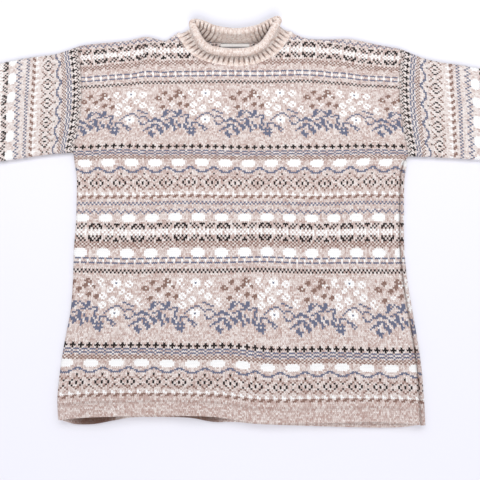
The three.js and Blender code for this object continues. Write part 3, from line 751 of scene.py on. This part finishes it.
# Upper edge, lower edge and thickness at places out along the sleeve
SLEEVE_LEFT = [
    (-290.3, 516, -283.8, 316, 9.4), (-327, 502, -318, 313.5, 9.6), (-362, 496.5, -354, 308.5, 9.8),
    (-408, 487.5, -397, 301.5, 9.8), (-500, 462, -485, 292, 9.8), (-615, 426, -596, 280, 9.8),
    (-724, 392, -701, 269, 9.8), (-753, 382, -729, 266, 9.8),
]
SLEEVE_RIGHT = [
    (289.3, 511, 285.8, 309, 9.4), (326, 493.5, 321, 308, 9.6), (359, 485, 353, 306, 9.8),
    (404, 477.5, 396, 303.5, 9.8), (500, 455.5, 486, 296, 9.8), (615, 427, 598, 286, 9.8),
    (722, 399, 703, 276, 9.8), (751, 389, 731, 273, 9.8),
]

# Place along and across, direction, half width, half length and rise of each fold of a sleeve
SLEEVE_FOLDS = [
    (0.22, 0.12, 20, 12, 42, 3), (0.5, 0.55, 12, 18, 90, 3.4), (0.72, 0.3, -8, 15, 70, 2.6),
    (0.88, 0.7, 6, 12, 46, 2), (0.12, 0.75, 34, 7, 34, -1.6), (0.3, 0.6, -16, 8, 52, 1.5),
    (0.42, 0.25, 24, 8, 40, -1.8), (0.6, 0.8, -10, 9, 48, 1.4), (0.8, 0.5, 16, 7, 38, -1.4),
]
ARMHOLE_BORDER = ["..k.", ".k.k", "k.k."]
# Bands from the armhole out: outer edge, chart, and the stitch from the middle where one repeat starts
SLEEVE_BANDS = [
    (7, ARMHOLE_BORDER, 0), (15.5, CROSSES, 1), (16, PLAIN, 0), (26, DOUBLE_WAVE, 0),
    (33, LATTICE[:3], 0), (43.5, WAVE, 1), (46.5, DOTS, 1), (47.5, PLAIN, 0), (69.5, DIAMONDS, 1),
    (75, PLAIN * 2, 0), (87, WHITE_AND_BROWN, 0), (91.5, PLAIN * 2, 0), (97.5, SLATE_ZIGZAG, 0),
    (104.5, PLAIN * 3, 0), (114.5, LARGE_ZIGZAG, 0), (128, OVALS, 7), (137, ARCHES, 0),
    (145, WHITE_BAND, 0), (154, ARCHES[::-1], 0), (156, PLAIN, 0), (167, LATTICE, 0), (180, OVALS, 7),
    (183, DASHES, 0), (188, WHITE_BARS * 2, 0), (191, DASHES, 0), (197, PLAIN * 2, 0),
    (202.5, SMALL_ZIGZAG, 0), (205, PLAIN, 0), (300, SPRIG[::-1], 3), (312, PLAIN * 4, 0),
    (320, CROSSES, 1), (322, PLAIN, 0), (332, DOUBLE_WAVE, 0), (340, LATTICE[:3], 0), (353.5, OVALS, 7),
    (363.5, WAVE[::-1], 1), (366, PLAIN, 0), (387, DIAMONDS, 1), (390, PLAIN, 0),
    (401, WHITE_AND_BROWN, 0), (431, PLAIN * 12, 0), (460, PLAIN * 11, 0),
]
sleeve_edges, sleeve_charts = rows_of(0, [(out, chart[::-1], start) for out, chart, start in SLEEVE_BANDS])
SLEEVE_HALF = 70


# Across and up on the flat tube's section, from its shoulder edge; s runs to half the way round,
# above 0 over the upper layer and below 0 under the lower one
def tube_point(s, breadth, radius, inset):
    sign = np.where(s < 0, -1, 1)
    s = np.abs(s)
    quarter = math.pi / 2 * radius
    span = breadth - 2 * radius
    start_angle = np.minimum(s / radius, math.pi / 2)
    end_angle = np.clip((s - quarter - span) / radius, 0, math.pi / 2)
    reach = radius - inset
    across = np.where(
        s < quarter,
        breadth - radius + reach * np.cos(start_angle),
        np.where(s < quarter + span, breadth - radius - (s - quarter), radius - reach * np.sin(end_angle)),
    )
    up = np.where(s < quarter, np.sin(start_angle), np.where(s < quarter + span, 1.0, np.cos(end_angle)))
    return across, radius + sign * reach * up


# One sleeve from the armhole out: its outer and inner points, its faces and rims, the stitch and row
# of every point, and those of every corner of a face
def sleeve(rows, edge, outward, stretch):
    table = np.array([(k / (len(rows) - 1), *row) for k, row in enumerate(rows)])
    last = len(sleeve_edges) - 1
    head_top, head_bottom = np.array(rows[0][0:2]), np.array(rows[0][2:4])
    steps_out = np.linspace(0, 1, 401)
    middles = [(along(table, steps_out, k) + along(table, steps_out, k + 2)) / 2 for k in (1, 2)]
    middles = np.stack(middles, -1)
    reach_out = np.concatenate([[0], np.cumsum(np.linalg.norm(np.diff(middles, axis=0), axis=1))])
    # the armhole curves inwards, so the middle of the sleeve is longer than its table by that much
    inset = abs(middles[0, 0]) - abs(float(edge(middles[0, 1]))) - ARMHOLE_GAP
    reach_out += inset * smooth(0, HEAD_REACH, steps_out)
    halves = []
    for out in sleeve_edges:
        pulled = out + stretch * np.clip(out - STRETCH_FROM, 0, STRETCH_TO - STRETCH_FROM)
        true_out = mix(pulled, reach_out[-1], smooth(WRIST_FROM, SLEEVE_LENGTH, out))
        place = float(np.interp(true_out, reach_out, steps_out))
        top = np.array([along(table, place, 1), along(table, place, 2)])
        bottom = np.array([along(table, place, 3), along(table, place, 4)])
        in_wrist = smooth(1 - WRIST_FADE, 1 - WRIST_HEM, place)
        height = mix(along(table, place, 5), HEM_HEIGHT, in_wrist)
        breadth = np.linalg.norm(top - bottom)
        radius = height / 2
        half = math.pi * radius + breadth - 2 * radius
        halves.append((place, top, bottom, breadth, radius, half, in_wrist))

    outer, inner, marks, first, counts = [], [], [], {1: [], -1: []}, {1: [], -1: []}
    for j, (place, top, bottom, breadth, radius, half, in_wrist) in enumerate(halves):
        whole = int((half - LEAST_STITCH) / SLEEVE_STITCH)
        steps = [*(k * SLEEVE_STITCH for k in range(whole + 1)), half]
        columns = [*range(whole + 1), half / SLEEVE_STITCH]
        direction = (top - bottom) / breadth
        wall = mix(WALL, HEM_WALL, in_wrist)
        head = 1 - smooth(0, HEAD_REACH, place)
        folds = [
            (along_it * SLEEVE_LENGTH, across_it * breadth, *rest)
            for along_it, across_it, *rest in SLEEVE_FOLDS
        ]
        fold_fade = smooth(0, FOLD_FADE, place * SLEEVE_LENGTH) * (1 - in_wrist)
        # the upper layer is the half with s above 0, the lower one the half below
        for side in (1, -1):
            s = side * np.array(steps)
            points = []
            for inset in (0, wall):
                across, up = tube_point(np.where(s == 0, 1e-6 * side, s), breadth, radius, inset)
                x = bottom[0] + direction[0] * across
                y = bottom[1] + direction[1] * across
                share = across / breadth
                head_x = edge(mix(head_bottom[1], head_top[1], share)) + outward * ARMHOLE_GAP
                x = x + head * (head_x - mix(head_bottom[0], head_top[0], share))
                edge_fade = smooth(0, FOLD_FADE, across) * smooth(0, FOLD_FADE, breadth - across)
                rise = edge_fade * fold_fade * fold_rise(folds, place * SLEEVE_LENGTH, across)
                to_wrist = SLEEVE_LENGTH * (1 - place)
                seam = ARMHOLE_DIP * np.exp(-((place * SLEEVE_LENGTH / SEAM_WIDTH) ** 2))
                stitched = math.exp(-(((to_wrist - HEM_STITCHING) / STITCHING_WIDTH) ** 2))
                dip = seam + STITCHING_DIP * stitched
                relief = edge_fade * pucker(x, y) - dip if inset == 0 else 0
                z = np.where(side > 0, up + rise + relief * (up > radius), up)
                points.append(np.stack([x, y, z], -1))
            begin = len(outer)
            outer.extend(points[0])
            inner.extend(points[1])
            marks.extend((SLEEVE_HALF + side * column, last - j) for column in columns)
            first[side].append(begin)
            counts[side].append(len(steps))
    outer, inner, marks = np.array(outer), np.array(inner), np.array(marks, float)
    faces, rims = [], []
    for side in (1, -1):
        made = lace(first[side], counts[side])
        faces += made if side > 0 else [tuple(reversed(face)) for face in made]
    # the two halves share the line along the shoulder edge and the seam under the arm
    same = {}
    for j in range(len(halves)):
        same[first[-1][j]] = first[1][j]
        same[first[-1][j] + counts[-1][j] - 1] = first[1][j] + counts[1][j] - 1
    face_marks = [[tuple(marks[k]) for k in face] for face in faces]
    faces = [tuple(same.get(k, k) for k in face) for face in faces]
    for j, backwards in ((0, False), (len(halves) - 1, True)):
        for side in (1, -1):
            for k in range(counts[side][j] - 1):
                a, b = same.get(first[side][j] + k, first[side][j] + k), first[side][j] + k + 1
                b = same.get(b, b)
                rims.append((b, a) if (side > 0) != backwards else (a, b))
    return outer, inner, faces, rims, marks, face_marks


def sleeve_piece(name, node, rows, edge, outward, stretch, shift):
    outer, inner, faces, rims, stitches, face_marks = sleeve(rows, edge, outward, stretch)
    # rows are numbered from the wrist, which is where a sleeve is begun
    yarn, _ = chart_grid(sleeve_charts, 2 * SLEEVE_HALF, lambda low, start: SLEEVE_HALF + start + shift)
    sleeve_by_row = np.concatenate([yarn[:-1][::-1], yarn[-1:]])
    # painted shade along the armhole seam
    seam = np.exp(-(((stitches[:, 1].max() - stitches[:, 1]) / 0.7) ** 2)) * 0.05
    hollow = np.concatenate([seam, 0 * seam])
    piece = knitted(name, outer, inner, faces, rims, stitches, sleeve_by_row, hollow)
    mesh = piece.data
    # the sleeves are knitted from a paler cone of the marl
    paler = mesh.attributes.new("paler", "FLOAT", "FACE")
    paler.data.foreach_set("value", np.full(len(mesh.polygons), PALER_CONE, np.float32))
    # the underarm seam has a stitch number on each side of it, so its corners are numbered by face
    uv = mesh.uv_layers["stitches"]
    corner_marks = np.zeros((len(mesh.loops), 2), np.float32)
    loop_vertices = np.zeros(len(mesh.loops), int)
    mesh.loops.foreach_get("vertex_index", loop_vertices)
    count = len(outer)
    layers = [mesh.attributes[label].data for label in ("yarn", "yarn_above")]
    for index, polygon in enumerate(mesh.polygons):
        source = index if index < len(faces) else index - len(faces)
        loops = range(polygon.loop_start, polygon.loop_start + polygon.loop_total)
        if index < 2 * len(faces):
            lookup = dict(zip(faces[source], face_marks[source]))
            here = [lookup[loop_vertices[loop] % count] for loop in loops]
            middle = np.mean(here, axis=0)
            row = int(np.clip(math.floor(middle[1]), 0, sleeve_by_row.shape[0] - 2))
            column = int(np.clip(math.floor(middle[0]), 0, sleeve_by_row.shape[1] - 1))
            layers[0][index].value = sleeve_by_row[row, column]
            layers[1][index].value = sleeve_by_row[row + 1, column]
        else:
            here = [stitches[loop_vertices[loop] % count] for loop in loops]
        for loop, mark in zip(loops, here):
            corner_marks[loop] = mark
    uv.data.foreach_set("uv", corner_marks.ravel())
    piece.data.materials.append(patterned_knit)
    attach(piece, "root")
    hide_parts(node)


# The right sleeve was pulled out further than the left when the jumper was laid down
sleeve_piece("knit_sleeve_left", "sleeve_left", SLEEVE_LEFT, left_edge, -1, 0, 1)
sleeve_piece("knit_sleeve_right", "sleeve_right", SLEEVE_RIGHT, right_edge, 1, 0.1, 0)


# The collar: a band of ribbing linked round the neckline, drawn in as it rises, whose plain edge
# rolls outwards by itself. It stands lower at the front and leans over the back.
RIBS = 47
STATIONS = 14
HALF_WALL = WALL / 2
ROLL_RADIUS = 5.7
ROLL_SHIFT = 0.6
ROLL_END = 225
FOOT_STEPS = 16
ROLL_STEPS = 18
RIB_CROWN, RIB_RISE = 0.45, 0.6
GROOVE_DEPTH, GROOVE_WIDTH = 1.5, 0.085
INNER_GROOVE_DEPTH, INNER_GROOVE_WIDTH = 1.5, 0.16
LINKED_EDGE, LINKED_EDGE_AT_ENDS = 3.3, 1.9
LINKED_EDGE_RISE = (-1.1, -0.5, 0.1, 0.4)
LOWEST = 0.05

# Place of the foot and of the middle of the roll, and how far the rise between them bellies out.
# Rows 0 and 10 are at the shoulders, with the front between them and the back after them.
SHOULDER_ROW = 10
COLLAR = np.array([
    (-109.3, 541.2, 4.7, -83, 550, 25, 0.5), (-102, 526, 7.4, -79, 536, 25, 0.9),
    (-90, 508, 7.9, -70, 518.5, 23, 1), (-69, 491.5, 7.9, -55, 503.5, 21, 1),
    (-38, 481.5, 7.9, -31, 498, 20, 1), (-5, 478.3, 7.9, -4, 497, 19.5, 1),
    (28, 482.5, 7.9, 21, 500, 20, 1), (54, 495, 7.9, 39, 509.5, 22, 1),
    (71, 510.5, 7.9, 50.5, 524, 24, 1), (82, 527.5, 7.4, 59.5, 540, 26, 0.9),
    (90.2, 543.6, 4.7, 67, 555, 27, 0.5), (78, 538.5, 2.65, 52, 552, 23, 0.25),
    (42, 530, 2.65, 30, 543, 19.5, 0.25), (-6, 526, 2.65, -6, 537.5, 18, 0.25),
    (-58, 530, 2.65, -44, 542, 19.5, 0.25), (-94, 537.5, 2.65, -67, 550, 23, 0.25),
])


# The table's columns at places once round the collar, on a smooth curve through its rows
def collar_row(turn):
    count = len(COLLAR)
    whole = np.mod(turn, 1) * count
    row = np.floor(whole).astype(int)
    t = (whole - row)[:, None]
    a, b, c, d = [COLLAR[(row + step) % count] for step in (-1, 0, 1, 2)]
    return 0.5 * (2 * b + (c - a) * t + (2 * a - 5 * b + 4 * c - d) * t**2 + (3 * b - a - 3 * c + d) * t**3)


fine_turns = np.linspace(0, 1, 1601)
fine_rows = collar_row(fine_turns)
middle_line = (fine_rows[:, 0:3] + fine_rows[:, 3:6]) / 2
lengths = np.concatenate([[0], np.cumsum(np.linalg.norm(np.diff(middle_line, axis=0), axis=1))])
station_count = RIBS * STATIONS
turns = np.interp(np.arange(station_count) / station_count * lengths[-1], lengths, fine_turns)
collar_rows = collar_row(turns)
foot, roll, belly = collar_rows[:, 0:3], collar_rows[:, 3:6], collar_rows[:, 6:7]
ahead = collar_row(turns + 0.002)[:, 3:6] - collar_row(turns - 0.002)[:, 3:6]
ahead[:, 2] = 0
ahead /= np.linalg.norm(ahead, axis=1, keepdims=True)
inward = np.stack([-ahead[:, 1], ahead[:, 0], 0 * ahead[:, 0]], -1)
table_row = turns * len(COLLAR)
at_front = smooth(0, 1.5, table_row) * (1 - smooth(SHOULDER_ROW - 1.5, SHOULDER_ROW, table_row))
at_back = smooth(SHOULDER_ROW + 0.1, SHOULDER_ROW + 0.7, table_row)
at_back = at_back * (1 - smooth(len(COLLAR) - 0.7, len(COLLAR) - 0.1, table_row))
at_ends = sum(np.exp(-(((table_row - end) / 0.7) ** 2)) for end in (0, SHOULDER_ROW, len(COLLAR)))
roll = roll - inward * (ROLL_SHIFT * at_front)[:, None]
rise_end = roll + inward * ROLL_RADIUS
corner = np.concatenate([rise_end[:, :2], foot[:, 2:3]], -1)
bend = mix((foot + rise_end) / 2, corner, belly * (1 - 0.35 * at_front[:, None]))
# levels up the band: close together at the foot, where the linked edge is folded down over the knit
levels = [0, 0.2, 0.5, 0.8, 1.2, *range(2, FOOT_STEPS + ROLL_STEPS + 1)]
path = []
for level in levels:
    if level < FOOT_STEPS:
        t = 1 - (1 - level / FOOT_STEPS) ** 0.7
        path.append((1 - t) ** 2 * foot + 2 * t * (1 - t) * bend + t * t * rise_end)
    else:
        rolled = (level - FOOT_STEPS) / ROLL_STEPS
        angle = math.radians(ROLL_END * rolled)
        reach = ROLL_RADIUS * (1 - 0.1 * rolled)
        path.append(roll + inward * reach * math.cos(angle) + (0, 0, reach * math.sin(angle)))
path = np.array(path)
groove_distance = np.abs((np.arange(station_count) / STATIONS + 0.5) % 1 - 0.5)
outer_groove = np.exp(-((groove_distance / GROOVE_WIDTH) ** 2))
inner_groove = np.exp(-(((0.5 - groove_distance) / INNER_GROOVE_WIDTH) ** 2))
crown = 0.5 - 0.5 * np.cos(2 * math.pi * groove_distance)
outer_rows, inner_rows, outer_painted_shade, inner_painted_shade = [], [], [], []
for k, level in enumerate(levels):
    around = np.roll(path[k], -1, axis=0) - np.roll(path[k], 1, axis=0)
    climb = path[min(k + 1, len(path) - 1)] - path[max(k - 1, 0)]
    if k == 0:
        climb[:, 2] = 0
    face = np.cross(around, climb)
    face /= np.linalg.norm(face, axis=1, keepdims=True)
    # the ribs start flat at the linked foot and are deepest where they pass under the roll
    fade = smooth(0.3, 1.2, level) * (1 - smooth(7, 10, level))
    deepening = 0.1 + 0.9 * smooth(0.4, 1.6, level)
    linking = 0.35 * math.exp(-(((level - 0.9) / 0.7) ** 2))
    rib = RIB_RISE + RIB_CROWN * crown - GROOVE_DEPTH * outer_groove * deepening
    outer_rows.append(path[k] + face * (HALF_WALL + linking + rib * fade)[:, None])
    if level < 1:
        # the linked edge lies on the panel outside the foot, and reaches furthest at the shoulders
        reach = (LINKED_EDGE + LINKED_EDGE_AT_ENDS * at_ends) * (1 - level * 1.1)
        linked = foot - inward * reach[:, None] + (0, 0, HALF_WALL + LINKED_EDGE_RISE[k])
        linked[:, 2] -= outer_groove * level
        outer_rows[k] = mix(linked, outer_rows[k], at_back[:, None])
    # inside, the ribs show up to the crest at the back; what is rolled over at the front is plain
    inner_end = FOOT_STEPS - 4 + 9 * (1 - at_front)
    inner_fade = 1 - smooth(inner_end, inner_end + 5, level)
    at_sides = 0.12 + 0.88 * smooth(20, 50, np.abs(path[k][:, 0] + 9))
    inner_rib = 0.4 - INNER_GROOVE_DEPTH * inner_groove * at_sides
    inner_rows.append(path[k] - face * (HALF_WALL + inner_rib * inner_fade)[:, None])
    # painted shade: under the roll, in the grooves between the ribs, darkest towards the roll, and in the
    # grooves inside, more at the sides
    shade_under_roll = 0.12 * smooth(3.6, 6.5, level) * (1 - smooth(FOOT_STEPS, FOOT_STEPS + 2, level))
    shaded_groove = np.exp(-((groove_distance / (0.11 + 0.07 * smooth(1.5, 5, level))) ** 2))
    shaded_groove = shaded_groove * fade * (0.45 * deepening + 0.5 * smooth(1.5, 4, level))
    outer_painted_shade.append(np.maximum(shaded_groove, shade_under_roll))
    inner_painted_shade.append(inner_groove * inner_fade * at_sides)
rows_in_band = len(path)
outer = np.concatenate(outer_rows)
inner = np.concatenate(inner_rows)
outer[:, 2] = np.maximum(outer[:, 2], LOWEST)
inner[:, 2] = np.maximum(inner[:, 2], LOWEST)
quads, rims = [], []
top = (rows_in_band - 1) * station_count
for station in range(station_count):
    beside = (station + 1) % station_count
    rims += [(station, beside), (top + beside, top + station)]
    for low in range(0, top, station_count):
        high = low + station_count
        quads.append((low + station, low + beside, high + beside, high + station))
steps_up = np.concatenate([[0], np.cumsum(np.linalg.norm(np.diff(path, axis=0), axis=2).mean(axis=1))])
# a rib is three stitches wide, and a row of it is 2.6 mm high
RIB_STITCHES, RIB_ROW = 3, 2.6
collar_marks = np.stack([
    np.tile(np.arange(station_count) * RIB_STITCHES / STATIONS, rows_in_band),
    np.repeat(steps_up / RIB_ROW, station_count),
], -1)
collar = knitted(
    "knit_collar", outer, inner, quads, rims, collar_marks, np.zeros((40, 200), int),
    np.concatenate(outer_painted_shade + inner_painted_shade),
)
# where the band closes on itself, the first stitches are numbered on from the last
closing = collar.data.uv_layers["stitches"].data
for polygon in collar.data.polygons:
    corners = [closing[loop].uv for loop in polygon.loop_indices]
    if max(corner[0] for corner in corners) > 2 * RIBS:
        for corner in corners:
            if corner[0] < RIBS:
                corner[0] += RIB_STITCHES * RIBS
# the collar's marl is paler than the body's: painted light, for the light the standing band catches
plain_knit_painted_lighter = stocking_stitch(
    "plain_marl_knit_painted_lighter", False, colour(206, 182, 169), colour(231, 214, 204), colour(242, 234, 227), 0.16
)
collar.data.materials.append(plain_knit_painted_lighter)
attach(collar, "root")
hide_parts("collar")


# The neck label: a small woven tape, left blank, sewn inside the back neck along its upper edge.
# It hangs free below that edge, so it waves a little over the knit of the back.
LABEL_MIDDLE, LABEL_TOP = -9, 524.6
LABEL_WIDTH, LABEL_DEPTH, LABEL_THICK = 52, 20, 0.8
LABEL_COLUMNS, LABEL_ROWS = 26, 10
label_points, label_marks = [], []
for j in range(LABEL_ROWS + 1):
    for i in range(LABEL_COLUMNS + 1):
        u, v = i / LABEL_COLUMNS, j / LABEL_ROWS
        sag = 0.5 * math.sin(math.pi * u) * math.sin(math.pi * 0.9 * (1 - v))
        sag += 0.18 * math.sin(9 * u + 4 * v)
        label_points.append((
            LABEL_MIDDLE + (u - 0.5) * LABEL_WIDTH,
            LABEL_TOP - (1 - v) * LABEL_DEPTH,
            WALL + SEAM_GAP + LABEL_THICK + sag * (1 - v),
        ))
        label_marks.append((u * LABEL_WIDTH, v * LABEL_DEPTH))
label_outer = np.array(label_points)
# it lies in the shade of the collar: under the foot of the band above it and below the roll before it
label_up = np.array(label_marks)[:, 1] / LABEL_DEPTH
label_shade = 0.6 * smooth(0.93, 1, label_up) + 0.9 * (1 - smooth(0.62, 0.74, label_up))
label_inner = label_outer - (0, 0, LABEL_THICK)
next_row = LABEL_COLUMNS + 1
upper_edge = LABEL_ROWS * next_row
label_quads, label_rims = [], []
for i in range(LABEL_COLUMNS):
    label_rims += [(i, i + 1), (upper_edge + i + 1, upper_edge + i)]
for begin in range(0, upper_edge, next_row):
    end = begin + LABEL_COLUMNS
    label_rims += [(begin + next_row, begin), (end, end + next_row)]
    label_quads += [(k, k + 1, k + 1 + next_row, k + next_row) for k in range(begin, end)]
label = knitted(
    "woven_label", label_outer, label_inner, label_quads, label_rims, np.array(label_marks),
    np.zeros((30, 60), int), np.tile(label_shade, 2),
)
tape, start = empty_finish("woven_tape")
threads = start.node("ShaderNodeUVMap", {"uv_map": "stitches"}, {})
diagonal = {"Vector": threads, "Scale": 2.2, "Distortion": 0.4}
weave = start.node("ShaderNodeTexWave", {"bands_direction": "DIAGONAL"}, diagonal)
cloudy = start.node("ShaderNodeTexNoise", {}, {"Vector": threads, "Scale": 0.4, "Detail": 3.0})
whites = [(0.2, colour(226, 223, 218)), (0.8, colour(244, 242, 238))]
paper_white = start.node("ShaderNodeValToRGB", {"stops": whites}, {"Fac": cloudy})
# the painted shade of the collar darkens the tape towards a dark grey
paper_white = paper_white.blend(colour(58, 54, 60), start.attribute("hollow"))
twill = start.node("ShaderNodeBump", {}, {"Strength": 0.4, "Distance": 0.0002, "Height": weave})
satin = start.node(
    "ShaderNodeBsdfPrincipled", {}, {"Base Color": paper_white, "Roughness": 0.55, "Normal": twill}
)
start.node("ShaderNodeOutputMaterial", {}, {"Surface": satin})
label.data.materials.append(tape)
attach(label, "root")
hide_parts("neck_label")


# The surface it lies on: a plain near-white sheet in soft light from all round. One soft box hangs
# above it beyond the neck, and a larger and stronger one stands far out below the hem.
FLOOR_SIZE = 8
FLOOR_LEVEL = -0.0005
SKY_STRENGTH = 0.66
bpy.ops.mesh.primitive_plane_add(size=FLOOR_SIZE, location=(0, 0, FLOOR_LEVEL))
floor = bpy.context.object
floor.name = "floor"
floor_finish, start = empty_finish("pale_floor")
matt = start.node(
    "ShaderNodeBsdfPrincipled", {}, {"Base Color": colour(226, 225, 231), "Roughness": 0.8}
)
start.node("ShaderNodeOutputMaterial", {}, {"Surface": matt})
floor.data.materials.append(floor_finish)

world = bpy.data.worlds.new("studio")
world.use_nodes = True
sky = world.node_tree.nodes["Background"].inputs
sky["Color"].default_value = colour(236, 238, 246)
sky["Strength"].default_value = SKY_STRENGTH
bpy.context.scene.world = world
# Name, power in watts, width and length, place, and turn in degrees of each light
SOFT_BOXES = [
    ("soft_box_above", 15.5, (2.6, 0.9), (0.02, 0.75, 1.3), (-22, 0, 0)),
    ("soft_box_near", 255, (3.0, 2.4), (0.3, -5.2, 4.6), (48, 0, 3)),
]
for light_name, power, size, place, turn in SOFT_BOXES:
    lamp = bpy.data.lights.new(light_name, "AREA")
    lamp.shape = "RECTANGLE"
    lamp.energy = power
    lamp.size, lamp.size_y = size
    light = bpy.data.objects.new(light_name, lamp)
    light.location = place
    light.rotation_euler = [math.radians(angle) for angle in turn]
    bpy.context.scene.collection.objects.link(light)

# The camera hangs over the lower body and looks up it, 12 degrees off straight down
CAMERA_PLACE = (0.001, -0.21738, 0.774)
CAMERA_TILT = 12
lens = bpy.data.cameras.new("camera")
lens.lens = 36
lens.sensor_width = 36
camera = bpy.data.objects.new("camera", lens)
camera.location = CAMERA_PLACE
camera.rotation_euler = (math.radians(CAMERA_TILT), 0, 0)
bpy.context.scene.collection.objects.link(camera)
bpy.context.scene.camera = camera
bpy.context.scene.view_settings.view_transform = "Standard"
